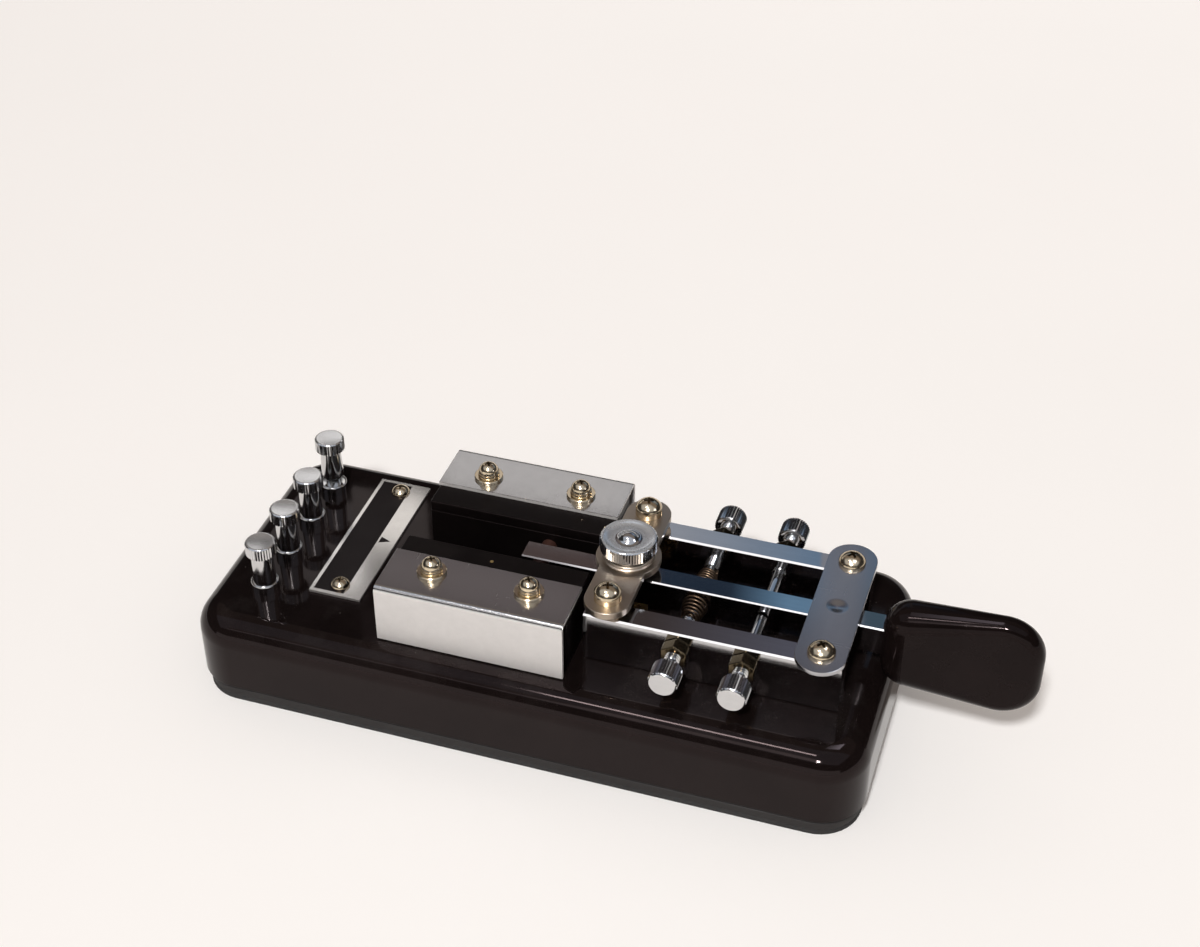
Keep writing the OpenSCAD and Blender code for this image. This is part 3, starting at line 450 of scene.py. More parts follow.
class Graph:
    """A node tree with short ways to add nodes and join them."""

    def __init__(self, tree: Tree) -> None:
        """Starts with an empty tree."""
        self.tree = tree
        tree.nodes.clear()

    @classmethod
    def material(cls, name: str) -> tuple[bpy.types.Material, "Graph"]:
        """Starts a material.

        Args:
            name: the material's name.

        Returns:
            The material and its empty graph.
        """
        made = bpy.data.materials.new(name)
        made.use_nodes = True
        return made, cls(made.node_tree)

    def add(self, kind: str, inputs: Optional[dict[Union[str, int], Value]] = None,
            **settings: object) -> Node:
        """Adds one node.

        Args:
            kind: the node's type name.
            inputs: values or sockets for its inputs, by name or number.
            settings: the node's own properties.

        Returns:
            The node.
        """
        node = self.tree.nodes.new(kind)
        for name, value in settings.items():
            setattr(node, name, value)
        for name, value in (inputs or {}).items():
            if isinstance(value, Socket):
                self.tree.links.new(value, node.inputs[name])
            else:
                node.inputs[name].default_value = value
        return node

    def finish(self, kind: str, shader: Node) -> None:
        """Joins a shader to an output node of a kind."""
        self.add(f"ShaderNodeOutput{kind}", {"Surface": shader.outputs[0]})

    def math(self, operation: str, a: Value, b: Value, clamp: bool = False) -> Socket:
        """Result of one Math node."""
        return self.add("ShaderNodeMath", {0: a, 1: b}, operation=operation, use_clamp=clamp).outputs[0]

    def times(self, a: Value, b: Value) -> Socket:
        """Product of two values."""
        return self.math("MULTIPLY", a, b)

    def vector(self, operation: str, a: Value, b: Value) -> Socket:
        """Result of one Vector Math node that gives a vector."""
        return self.add("ShaderNodeVectorMath", {0: a, 1: b}, operation=operation).outputs[0]

    def remap(self, value: Value, span: Point, to: Point = UNIT) -> Socket:
        """Stretches a value from one span to another, held at the ends."""
        return self.add("ShaderNodeMapRange", {"Value": value, "From Min": span[0], "From Max": span[1],
                                               "To Min": to[0], "To Max": to[1]}).outputs["Result"]

    def mix(self, share: Value, a: Value, b: Value) -> Socket:
        """Mixes two colours, which are the node's sockets 6 and 7."""
        return self.add("ShaderNodeMix", {"Factor": share, 6: a, 7: b}, data_type="RGBA").outputs[2]

    def noise(self, vector: Value, scale: Value, detail: float = 4.0, roughness: float = 0.55) -> Socket:
        """Noise at a scale, in features to the metre."""
        return self.add("ShaderNodeTexNoise", {"Vector": vector, "Scale": scale, "Detail": detail,
                                               "Roughness": roughness}).outputs["Fac"]

    def place(self) -> Socket:
        """The surface point in the key's own frame."""
        return self.add("ShaderNodeTexCoord").outputs["Object"]

    def part(self, vector: Value, axis: str) -> Socket:
        """One of a vector's three numbers."""
        return self.add("ShaderNodeSeparateXYZ", {0: vector}).outputs[axis]

    def relief(self, height: Socket, strength: float, depth: float) -> Socket:
        """Normal of a surface with a fine relief."""
        return self.add("ShaderNodeBump", {"Height": height, "Strength": strength,
                                           "Distance": depth}).outputs[0]

    def effect(self, group: Tree, **inputs: Value) -> Node:
        """Places a shared effect with its own values."""
        return self.add("ShaderNodeGroup", inputs, node_tree=group)


class Effects:
    """Surface effects that several finishes share, each built once as a node group."""

    @staticmethod
    def start(name: str, inputs: dict[str, str], outputs: Sequence[str]) -> tuple[Graph, Node]:
        """Opens a new group.

        Args:
            name: the group's name.
            inputs: socket types by input name.
            outputs: names of its outputs, all values.

        Returns:
            Its graph and its input node.
        """
        tree = bpy.data.node_groups.new(name, "ShaderNodeTree")
        for label, kind in inputs.items():
            tree.interface.new_socket(label, in_out="INPUT", socket_type=kind)
        for label in outputs:
            tree.interface.new_socket(label, in_out="OUTPUT", socket_type="NodeSocketFloat")
        graph = Graph(tree)
        return graph, graph.add("NodeGroupInput")

    @staticmethod
    @cache
    def drawn_grain() -> Tree:
        """Fine lines left by drawing and polishing along one direction.

        Returns:
            The group, with outputs Height and Tone.
        """
        g, source = Effects.start("Drawn grain", {"Stretch": "NodeSocketVector"}, ["Height", "Tone"])
        run = g.vector("MULTIPLY", g.place(), source.outputs["Stretch"])
        fine = g.noise(run, 1.0, 5.0, 0.7)
        broad = g.noise(run, 0.17, 3.0, 0.6)
        g.add("NodeGroupOutput", {"Height": fine, "Tone": g.remap(broad, (0.3, 0.7))})
        return g.tree

    @staticmethod
    @cache
    def handling() -> Tree:
        """Cloudy marks of handling and age.

        Returns:
            The group, with outputs Mask and Mottle.
        """
        g, source = Effects.start("Handling", {"Scale": "NodeSocketFloat"}, ["Mask", "Mottle"])
        place = g.place()
        broad = g.noise(place, source.outputs["Scale"], 5.0, 0.6)
        mottle = g.noise(place, 2600.0, 3.0, 0.6)
        g.add("NodeGroupOutput", {"Mask": g.remap(broad, (0.38, 0.66)), "Mottle": mottle})
        return g.tree

    @staticmethod
    @cache
    def scratches() -> Tree:
        """Hairline scratches in two directions.

        Returns:
            The group, with the output Mask.
        """
        g, source = Effects.start("Scratches", {"Amount": "NodeSocketFloat"}, ["Mask"])
        place = g.place()
        lines = []
        for turn, scale in ((0.5, (3600.0, 90.0, 400.0)), (-0.9, (70.0, 4200.0, 400.0))):
            laid = g.add("ShaderNodeMapping", {"Vector": place, "Rotation": (0.3, 0.2, turn), "Scale": scale})
            lines.append(g.remap(g.noise(laid.outputs[0], 1.0, 2.0, 0.5), (0.7, 0.76)))
        patch = g.remap(g.noise(place, 95.0, 2.0), (0.45, 0.65))
        worn = g.times(g.math("MAXIMUM", *lines), patch)
        g.add("NodeGroupOutput", {"Mask": g.math("MULTIPLY", worn, source.outputs["Amount"], clamp=True)})
        return g.tree

    @staticmethod
    @cache
    def dust() -> Tree:
        """Specks of lint and dust that settle on upward faces.

        Returns:
            The group, with the output Mask.
        """
        g, source = Effects.start("Settled dust", {"Amount": "NodeSocketFloat"}, ["Mask"])
        place = g.place()
        cells = g.add("ShaderNodeTexVoronoi", {"Vector": place, "Scale": 420.0, "Randomness": 1.0})
        speck = g.remap(cells.outputs["Distance"], (0.03, 0.07), (1.0, 0.0))
        tone = g.add("ShaderNodeSeparateColor", {"Color": cells.outputs["Color"]})
        chosen = g.math("GREATER_THAN", tone.outputs[0], 0.86)
        upward = g.remap(g.part(g.add("ShaderNodeNewGeometry").outputs["Normal"], "Z"), (0.3, 0.9))
        film = g.remap(g.noise(place, 60.0, 6.0, 0.7), (0.5, 0.8), (0.0, 0.12))
        lying = g.times(g.math("ADD", g.times(speck, chosen), film), upward)
        g.add("NodeGroupOutput", {"Mask": g.math("MULTIPLY", lying, source.outputs["Amount"], clamp=True)})
        return g.tree


@dataclass(frozen=True)
class Finish:
    """A surface finish, made into a material the first time it is used.

    Attributes:
        name: plain name of the finish.
        slot: the record's material slot that it stands for; not used by this script.
        colour: base colour, linear.
        roughness: roughness where the surface is clean.
    """

    name: str
    slot: str
    colour: Colour
    roughness: float

    def material(self) -> bpy.types.Material:
        """The finish's material.

        Returns:
            The one material of that name.
        """
        found = bpy.data.materials.get(self.name)
        if found is not None:
            return found
        made, g = Graph.material(self.name)
        g.finish("Material", g.add("ShaderNodeBsdfPrincipled", self.dress(g)))
        made.diffuse_color = (*self.colour, 1.0)
        return made

    def dress(self, g: Graph) -> dict[str, Value]:
        """Values and sockets for the shader's inputs, by name."""
        raise NotImplementedError

    def tint(self, share: float) -> tuple[float, float, float, float]:
        """The base colour, darker or lighter by a share."""
        return (*[min(1.0, c * share) for c in self.colour], 1.0)


@dataclass(frozen=True)
class Moulding(Finish):
    """Moulded plastic or phenolic, from glossy to low sheen.

    Attributes:
        dusty: how much dust has settled.
        texture: depth of the moulded texture.
        texture_scale: features to the metre.
        sheen: strength of the reflection, 0.5 for plain plastic.
        glint: colour of the reflection, straight on.
    """

    dusty: float = 0.5
    texture: float = 0.004 * MM
    texture_scale: float = 900.0
    sheen: float = 0.2
    glint: Colour = (1.0, 0.8, 0.8)

    def dress(self, g: Graph) -> dict[str, Value]:
        """Dark moulding with handling marks, settled dust and a faint surface texture.

        Args:
            g: the material's graph.

        Returns:
            The shader's inputs.
        """
        marks = g.effect(Effects.handling(), Scale=55.0).outputs["Mask"]
        dust = g.effect(Effects.dust(), Amount=self.dusty).outputs["Mask"]
        scuffs = g.effect(Effects.scratches(), Amount=0.6).outputs["Mask"]
        cloudy = g.mix(marks, self.tint(0.8), self.tint(1.25))
        worn = g.mix(g.times(scuffs, 0.25), cloudy, self.tint(4.0))
        clean = g.remap(marks, UNIT, (self.roughness, self.roughness * 1.5))
        rough = g.math("ADD", clean, g.times(scuffs, 0.12))
        peel = g.noise(g.place(), self.texture_scale, 3.0)
        return {"Base Color": g.mix(dust, worn, (0.32, 0.3, 0.28, 1.0)),
                "Roughness": g.math("ADD", rough, g.times(dust, 0.5), clamp=True),
                "Normal": g.relief(peel, 0.5, self.texture),
                "Specular IOR Level": self.sheen, "Specular Tint": (*self.glint, 1.0)}


@dataclass(frozen=True)
class Plating(Finish):
    """Plated or polished metal.

    Attributes:
        stretch: grain features to the metre along X, Y and Z.
        grain: depth of the grain.
        scuffed: how scratched it is.
        clouded: how cloudy its tarnish is.
        metal: 1 for bright metal; less mixes in a diffuse share, which lightens the bracket sides, the knob's
            ring and the cap nuts' tops as painted light, and makes the nameplate aluminium partly matte.
    """

    stretch: tuple[float, float, float] = (900.0, 900.0, 900.0)
    grain: float = 0.002 * MM
    scuffed: float = 0.5
    clouded: float = 1.0
    metal: float = 1.0

    def dress(self, g: Graph) -> dict[str, Value]:
        """Metal with grain, cloudy tarnish and hairline scratches.

        Args:
            g: the material's graph.

        Returns:
            The shader's inputs.
        """
        grain = g.effect(Effects.drawn_grain(), Stretch=self.stretch).outputs
        marks = g.effect(Effects.handling(), Scale=110.0).outputs["Mask"]
        clean = g.mix(g.times(marks, 0.6 * self.clouded), self.tint(1.0), self.tint(0.92))
        streaked = g.mix(g.times(grain["Tone"], 0.35 * self.clouded), clean, self.tint(0.8))
        dulled = self.roughness * self.clouded
        spread = g.remap(marks, UNIT, (self.roughness, self.roughness + 0.15 * dulled))
        lined = g.math("ADD", spread, g.times(grain["Tone"], 0.4 * dulled))
        return self.scratched(g, streaked, lined, grain["Height"], 0.15)

    def scratched(self, g: Graph, tone: Socket, rough: Socket, height: Socket,
                  dulling: float) -> dict[str, Value]:
        """Metal with its scratches laid over a tone and a roughness.

        Args:
            g: the material's graph.
            tone: colour of the unscratched metal.
            rough: its roughness.
            height: its relief.
            dulling: how much rougher a scratch is.

        Returns:
            The shader's inputs.
        """
        scuffs = g.effect(Effects.scratches(), Amount=self.scuffed).outputs["Mask"]
        return {"Base Color": g.mix(g.times(scuffs, 0.4), tone, self.tint(1.2)),
                "Roughness": g.math("ADD", rough, g.times(scuffs, dulling), clamp=True),
                "Normal": g.relief(height, 0.6, self.grain), "Metallic": self.metal}


@dataclass(frozen=True)
class Turning(Plating):
    """Metal turned on a lathe, with fine rings round a centre.

    Attributes:
        centre: where the rings have their middle, in X and Y.
    """

    centre: Point = (0.0, 0.0)

    def dress(self, g: Graph) -> dict[str, Value]:
        """Satin metal with turned rings, cloudy marks and scratches.

        Args:
            g: the material's graph.

        Returns:
            The shader's inputs.
        """
        moved = g.vector("SUBTRACT", g.place(), (*self.centre, 0.0))
        flat = g.vector("MULTIPLY", moved, (1.0, 1.0, 0.0))
        out = g.add("ShaderNodeVectorMath", {0: flat}, operation="LENGTH").outputs["Value"]
        rings = g.noise(g.add("ShaderNodeCombineXYZ", {"X": out}).outputs[0], 5200.0, 3.0, 0.7)
        marks = g.effect(Effects.handling(), Scale=160.0).outputs["Mask"]
        toned = g.mix(g.remap(rings, (0.35, 0.65), (0.0, 0.5)), self.tint(1.0), self.tint(0.82))
        spread = g.remap(marks, UNIT, (self.roughness, self.roughness * 1.35))
        return self.scratched(g, toned, spread, rings, 0.1)


@dataclass(frozen=True)
class Matte(Finish):
    """Rubber, paint or vinyl with a dry surface.

    Attributes:
        texture: depth of the surface texture.
        texture_scale: features to the metre.
    """

    texture: float = 0.05 * MM
    texture_scale: float = 1400.0

    def dress(self, g: Graph) -> dict[str, Value]:
        """Dry surface with mottled colour and a fine texture.

        Args:
            g: the material's graph.

        Returns:
            The shader's inputs.
        """
        marks = g.effect(Effects.handling(), Scale=70.0).outputs
        dust = g.effect(Effects.dust(), Amount=0.4).outputs["Mask"]
        mottled = g.mix(marks["Mottle"], self.tint(0.75), self.tint(1.25))
        drier = min(1.0, self.roughness * 1.15)
        pitted = g.noise(g.place(), self.texture_scale, 4.0, 0.65)
        return {"Base Color": g.mix(dust, mottled, (0.3, 0.29, 0.27, 1.0)),
                "Roughness": g.remap(marks["Mask"], UNIT, (self.roughness, drier)),
                "Normal": g.relief(pitted, 0.7, self.texture)}


LENGTHWISE = (45.0, 5200.0, 5200.0)
CROSSWISE = (2600.0, 160.0, 2600.0)
SPUN = (1500.0, 1500.0, 7000.0)
EVEN = (2600.0, 2600.0, 2600.0)

BASE_BLACK = Moulding("base moulding", "base_black", (0.0064, 0.0042, 0.004), 0.06, dusty=0.25, sheen=0.22)
PADDLE_BLACK = Moulding("paddle moulding", "paddle_black", (0.0065, 0.0042, 0.004), 0.07, dusty=0.08,
                        sheen=0.14)
SWITCH_BLACK = Moulding("switch phenolic", "switch_black", (0.0034, 0.0024, 0.0023), 0.3, dusty=0.1,
                        sheen=0.1, texture=0.012 * MM, texture_scale=2400.0)
PANEL_BLACK = Moulding("nameplate panel", "label_aluminium", (0.0055, 0.0046, 0.005), 0.3, dusty=0.2)
PLUNGER_BROWN = Moulding("plunger phenolic", "plunger_plastic", (0.05, 0.022, 0.016), 0.35, dusty=0.1,
                         sheen=0.4)
MAT_GREY = Matte("rubber mat", "mat_rubber", (0.022, 0.021, 0.021), 0.82)
PLATE_GREY = Matte("ballast paint", "ballast_steel", (0.012, 0.0095, 0.009), 0.6, texture=0.03 * MM)
WIRE_RED = Matte("wire insulation", "wire_insulation", (0.3, 0.02, 0.016), 0.45, texture=0.01 * MM)
CHROME = Plating("turned chrome", "chrome", (0.74, 0.74, 0.745), 0.08, SPUN, 0.001 * MM, scuffed=0.4)
RAIL_CHROME = Plating("rail chrome", "rail_chrome", (0.68, 0.68, 0.69), 0.045, LENGTHWISE)
LEVER_CHROME = Plating("lever chrome", "lever_chrome", (0.7, 0.7, 0.72), 0.06, LENGTHWISE, 0.0015 * MM)
SCREW_NICKEL = Plating("warm nickel", "screw_nickel", (0.76, 0.63, 0.45), 0.14, SPUN, 0.001 * MM)
# Dark copy of the screw nickel laid on the cross recesses: painted shade.
RECESS_PAINTED_SHADE = Plating("screw recess painted shade", "screw_nickel", (0.15, 0.105, 0.06), 0.3, EVEN)
NUT_BRASS = Plating("dull brass", "screw_nickel", (0.13, 0.1, 0.06), 0.12, EVEN)
BRIDGE_NICKEL = Plating("satin nickel", "bridge_nickel", (0.5, 0.42, 0.34), 0.3, EVEN, 0.003 * MM,
                        clouded=0.2)
STRAP_STEEL = Plating("strap steel", "strap_steel", (0.52, 0.52, 0.54), 0.2, CROSSWISE, scuffed=1.0,
                      clouded=0.3)
BRACKET_STEEL = Plating("bracket plate", "bracket_steel", (0.63, 0.62, 0.61), 0.16, EVEN, scuffed=1.3,
                        clouded=0.3)
# Lighter, partly diffuse copy of the bracket plating for the side faces: a painted reflection of the pale
# floor.
BRACKET_SIDE_PAINTED_LIGHT = Plating("bracket side painted light", "bracket_steel", (0.7, 0.68, 0.665), 0.38, EVEN, clouded=0.5,
                       metal=0.45)
LABEL_METAL = Plating("nameplate aluminium", "label_aluminium", (0.74, 0.72, 0.7), 0.14, EVEN, 0.003 * MM,
                      clouded=0.3, metal=0.8)
DARK_STEEL = Plating("oiled steel", "dark_steel", (0.12, 0.11, 0.1), 0.34, EVEN)
SPRING_BRONZE = Plating("spring bronze", "spring_bronze", (0.14, 0.092, 0.06), 0.26, EVEN)
BEARING_BRASS = Plating("bearing brass", "bearing_brass", (0.6, 0.4, 0.17), 0.22, SPUN)
CONTACT_BRASS = Plating("contact brass", "contact_brass", (0.68, 0.5, 0.22), 0.25, EVEN)


def deliver(bm: Solid, name: str, finish: Finish, body: str, *nodes: str,
            crease: float = 38.0) -> bpy.types.Object:
    """Turns a shape into a dressed piece that rides on the frame.

    Args:
        bm: the shape, which is used up.
        name: the piece's name.
        finish: its finish.
        body: the body that it moves with.
        nodes: CAD nodes that it stands for.
        crease: edges sharper than this many degrees stay sharp.

    Returns:
        The piece.
    """
    mesh = Shape.mesh(bm, name)
    mesh.polygons.foreach_set("use_smooth", [True] * len(mesh.polygons))
    mesh.set_sharp_from_angle(angle=math.radians(crease))
    mesh.materials.append(finish.material())
    piece = put(name, mesh)
    piece.modifiers.new("evened normals", "WEIGHTED_NORMAL").keep_sharp = True
    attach(piece, body)
    if nodes:
        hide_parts(*nodes)
    LOG.info("%s: %d faces on %s", name, len(mesh.polygons), body)
    return piece


def face_up(piece: bpy.types.Object, finish: Finish, above: float, tilt: float = 0.75,
            clear: float = 0.0) -> None:
    """Gives a piece's upward faces above a height a finish of their own.

    Args:
        piece: the piece.
        finish: the finish of its top.
        above: height over which faces are taken.
        tilt: least upward share of a face's normal.
        clear: radius round the piece's middle that is left as it was.
    """
    piece.data.materials.append(finish.material())
    centre = sum((Vector(corner) for corner in piece.bound_box), Vector()) / 8
    for face in piece.data.polygons:
        out = (face.center - centre).xy.length
        if face.normal.z > tilt and face.center.z > above and out >= clear:
            face.material_index = 1


def coat(finish: Finish, *nodes: str) -> None:
    """Gives CAD nodes that keep their own shape a finish.

    Args:
        finish: the finish.
        nodes: the nodes.
    """
    for node in nodes:
        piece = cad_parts[node]
        piece.data.materials.clear()
        piece.data.materials.append(finish.material())
        LOG.info("%s keeps its shape, in %s", node, finish.name)


@dataclass(frozen=True)
class PanScrew:
    """A pan-head screw with a cross recess.

    Attributes:
        radius: radius of the head.
        shank: radius of the shank.
        turn: angle of the recess, in degrees.
        rim: easing of the head's lower edge.
        wall: share of the head's height that is upright.
        recess: length, width and floor of the recess, as shares of the radius, radius and height.
    """

    radius: float
    shank: float
    turn: float = 17.0
    rim: float = 0.08 * MM
    wall: float = 0.25
    recess: Place = (0.56, 0.14, 0.52)

    def shape(self, node: str, seat: float) -> Solid:
        """Makes the screw as tall and as long as the frame's.

        Args:
            node: the CAD node of such screws.
            seat: height of their heads' undersides.

        Returns:
            One screw with its head's underside at the origin, its recess marked as material 1 for the painted
            shade.
        """
        low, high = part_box(node)
        height, length = high.z - seat, seat - low.z
        wall = self.wall * height
        drop = (height ** 2 - self.radius ** 2 - wall ** 2) / (2 * (height - wall))
        ball = height - drop
        edge = math.degrees(math.asin((wall - drop) / ball))
        dome = arc((0.0, drop), ball, edge + 2, 90, 14)
        profile = [(0.0, -length), (self.shank, -length), (self.shank, 0.0), (self.radius - self.rim, 0.0),
                   (self.radius, self.rim), (self.radius, wall - self.rim), *dome[:-1], (0.0, height)]
        screw = Shape.turned(profile, 48)
        for angle in (self.turn, self.turn + 90):
            turned = Matrix.Rotation(math.radians(angle), 4, "Z")
            screw = Shape.cut(screw, Shape.placed(self.blade(height), turned))
        # Faces inside the recess take material 1, the dark painted shade.
        for face in screw.faces:
            spot = face.calc_center_median()
            if spot.z > wall and (spot - Vector((0.0, 0.0, drop))).length < 0.97 * ball:
                face.material_index = 1
        return screw

    def drive(self, node: str, seat: float, name: str, spots: Iterable[Matrix]) -> None:
        """Puts such screws in.

        Args:
            node: the CAD node that they stand for.
            seat: height of their heads' undersides.
            name: the piece's name.
            spots: where they go.
        """
        piece = deliver(Shape.copies(self.shape(node, seat), spots), name, SCREW_NICKEL, "base", node)
        # The second material paints the recesses dark as shade.
        piece.data.materials.append(RECESS_PAINTED_SHADE.material())

    def blade(self, height: float) -> Solid:
        """One arm of the cross recess, narrower towards its floor.

        Args:
            height: height of the head.

        Returns:
            The arm, reaching out over the head.
        """
        long, wide = self.recess[0] * self.radius, self.recess[1] * self.radius
        floor = self.recess[2] * height
        bm = Shape.block(Vector((-long, -wide, floor)), Vector((long, wide, 1.5 * height)))
        bmesh.ops.scale(bm, vec=(0.5, 0.5, 1.0), verts=[v for v in bm.verts if v.co.z < height])
        return bm


@dataclass(frozen=True)
class SpringWasher:
    """A spring washer: square wire bent round, with a gap.

    Attributes:
        radius: outer radius.
        bore: radius of the hole.
        height: thickness.
        gap: angle left open, in degrees.
    """

    radius: float
    bore: float
    height: float
    gap: float = 10.0

    def shape(self) -> Solid:
        """The washer with its underside at the origin.

        Returns:
            The washer.
        """
        bm = bmesh.new()
        corners = ((self.bore, 0.0), (self.radius, 0.0), (self.radius, self.height), (self.bore, self.height))
        face = bm.faces.new([bm.verts.new((r, 0.0, z)) for r, z in corners])
        bmesh.ops.spin(bm, geom=[*face.verts, *face.edges, face], cent=(0, 0, 0), axis=(0, 0, 1),
                       angle=math.radians(360 - self.gap), steps=40)
        return Shape.crisp(Shape.mended(bm), 0.1 * MM)


@dataclass
class Base:
    """The moulded base with its ballast plate and mat.

    Attributes:
        corner: plan radius of the corners.
        edge: radius of the rolled top edge.
        inset: how far the plate and mat are set in.
        soft: radius of their top edges.
        groove_height: height of the groove round the plate's top.
        groove_depth: how deep the groove is.
        lap: how far the plate's two steps run into each other.
    """

    corner: float = 12 * MM
    edge: float = 7 * MM
    inset: float = 1 * MM
    soft: float = 0.4 * MM
    groove_height: float = 1.4 * MM
    groove_depth: float = 2.5 * MM
    lap: float = 0.1 * MM

    def build(self) -> None:
        """Makes the moulding, the plate and the mat."""
        moulding = Shape.rolled_slab(*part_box("base_moulding"), self.corner, self.edge, 10)
        deliver(moulding, "moulded_base", BASE_BLACK, "base", "base_moulding")
        deliver(self.plate(), "steel_ballast", PLATE_GREY, "base", "ballast_plate")
        mat = Shape.rolled_slab(*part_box("rubber_mat"), self.corner - self.inset, self.soft, 5)
        deliver(mat, "mat", MAT_GREY, "base", "rubber_mat")
        coat(SCREW_NICKEL, "ballast_screws")
        coat(WIRE_RED, "hookup_wires")

    def plate(self) -> Solid:
        """The ballast plate, stepped in at its top so that a groove runs round under the moulding.

        Returns:
            The plate.
        """
        low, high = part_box("ballast_plate")
        ledge = high.z - self.groove_height
        radius = self.corner - self.inset
        foot = Shape.rolled_slab(low, Vector((high.x, high.y, ledge)), radius, self.soft, 5)
        step = Vector((self.groove_depth, self.groove_depth, 0.0))
        rise = Vector((0.0, 0.0, ledge - self.lap - low.z))
        neck = Shape.rolled_slab(low + step + rise, high - step, radius - self.groove_depth, self.lap, 2)
        return Shape.joined([foot, neck])


@dataclass
class Nameplate:
    """The plate by the terminals, with a bare printed panel and a pointer.

    Attributes:
        border: plain metal left round the panel's back edge and ends.
        panel_width: width of the printed panel.
        pointer: half width of the pointer.
        pointer_gap: plain metal between the panel and the pointer.
        pointer_shift: how far the pointer stands off the plate's middle.
        film: thickness of the print.
        screw: the plate's screws.
    """

    border: float = 1.0 * MM
    panel_width: float = 8.2 * MM
    pointer: float = 1.2 * MM
    pointer_gap: float = 0.5 * MM
    pointer_shift: float = 0.3 * MM
    film: float = 0.03 * MM
    screw: PanScrew = PanScrew(2.5 * MM, 1.2 * MM)

    def build(self) -> None:
        """Makes the plate, its printed panel and its screws."""
        low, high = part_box("nameplate")
        plate = Shape.crisp(Shape.block(low, high), 0.12 * MM)
        deliver(plate, "label_plate", LABEL_METAL, "base", "nameplate")
        prints = [Shape.slab(outline, high.z - self.film / 2, high.z + self.film)
                  for outline in (self.panel(low, high), self.mark(low, high))]
        deliver(Shape.joined(prints), "label_print", PANEL_BLACK, "base")
        self.screws(high.z)

    def panel(self, low: Vector, high: Vector) -> list[Point]:
        """Outline of the plain printed panel.

        Args:
            low: the plate's lowest corner.
            high: its highest corner.

        Returns:
            The panel's corners in X and Y.
        """
        back, front = low.x + self.border, low.x + self.border + self.panel_width
        near, far = low.y + self.border, high.y - self.border
        return [(back, near), (front, near), (front, far), (back, far)]

    def mark(self, low: Vector, high: Vector) -> list[Point]:
        """Outline of the small pointer between the panel and the lever.

        Args:
            low: the plate's lowest corner.
            high: its highest corner.

        Returns:
            The pointer's corners in X and Y.
        """
        base = low.x + self.border + self.panel_width + self.pointer_gap
        mid = (low.y + high.y) / 2 - self.pointer_shift
        return [(base, mid - self.pointer), (base + 2.4 * self.pointer, mid), (base, mid + self.pointer)]

    def screws(self, seat: float) -> None:
        """Puts the screws in at their CAD places.

        Args:
            seat: height of the plate's top.
        """
        low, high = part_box("nameplate_screws")
        x, ends = (low.x + high.x) / 2, (low.y + self.screw.radius, high.y - self.screw.radius)
        self.screw.drive("nameplate_screws", seat, "label_screws", [at(x, y, seat) for y in ends])


@dataclass
class Terminals:
    """The row of posts with their knurled cap nuts.

    Attributes:
        collar: radius of a post's collar.
        collar_height: its height.
        bead: radius of the collar's upper edge.
        stud: radius of a post's stud.
        cap: radius of a cap nut's knurled head.
        cap_height: its height.
        neck: radius of a cap nut's neck at its foot.
        neck_top: radius of the neck under the head.
        neck_ease: easing of the neck's foot.
        teeth: teeth round the head.
        tooth: depth of the knurl.
        rim: plain height over and under the knurl.
        edge: easing of the head's edges.
        dish: depth of the head's dished top.
    """

    collar: float = 3.6 * MM
    collar_height: float = 2.7 * MM
    bead: float = 0.5 * MM
    stud: float = 2.0 * MM
    cap: float = 3.95 * MM
    cap_height: float = 3.7 * MM
    neck: float = 3.05 * MM
    neck_top: float = 2.7 * MM
    neck_ease: float = 0.15 * MM
    teeth: int = 34
    tooth: float = 0.25 * MM
    rim: float = 0.28 * MM
    edge: float = 0.1 * MM
    dish: float = 0.15 * MM

    def build(self) -> None:
        """Makes the posts and their nuts."""
        low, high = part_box("terminal_posts")
        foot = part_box("base_moulding")[1].z
        top = foot + self.collar_height
        centres = [middle(f"terminal_nut_{k}") for k in (1, 2, 3, 4)]
        bead = arc((self.collar - self.bead, top - self.bead), self.bead, 0, 90, 6)
        profile = [(0.0, low.z), (self.stud, low.z), (self.stud, foot), (self.collar, foot), *bead,
                   (self.stud, top), (self.stud, high.z), (0.0, high.z)]
        posts = Shape.copies(Shape.turned(profile, 48), [at(c.x, c.y) for c in centres])
        deliver(posts, "posts", CHROME, "base", "terminal_posts")
        for k, centre in enumerate(centres, 1):
            self.nut(k, centre)
        coat(SCREW_NICKEL, "post_nuts")

    def nut(self, k: int, centre: Vector) -> None:
        """Makes one cap nut with its dished top.

        Args:
            k: the nut's number.
            centre: its middle.
        """
        node = f"terminal_nut_{k}"
        low, high = (corner.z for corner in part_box(node))
        head = high - self.cap_height
        valley = self.cap - self.tooth
        lip = valley - self.rim
        below = [(low, self.neck - self.neck_ease), (low + self.neck_ease, self.neck), (head, self.neck_top),
                 (head, lip), (head + self.edge, valley - self.edge)]
        above = [(high - self.edge, valley - self.edge), (high, lip), (high, lip - 0.18 * MM)]
        above += [(high - self.dish * (1 - share * share), share * (lip - 0.2 * MM))
                  for share in (0.97, 0.85, 0.7, 0.52, 0.34, 0.17, 0.03)]
        cap = Shape.knurled(below, (head + self.rim, high - self.rim), above, (self.cap, valley), self.teeth)
        piece = deliver(Shape.placed(cap, at(centre.x, centre.y)), f"cap_nut_{k}", CHROME, node, node)
        # The spun top's diffuse share lightens it a little: painted light over the turned satin.
        spun = Turning(f"spun chrome {k}", "chrome", CHROME.colour, 0.2, metal=0.85,
                       centre=(centre.x, centre.y))
        face_up(piece, spun, high - self.dish - TINY)


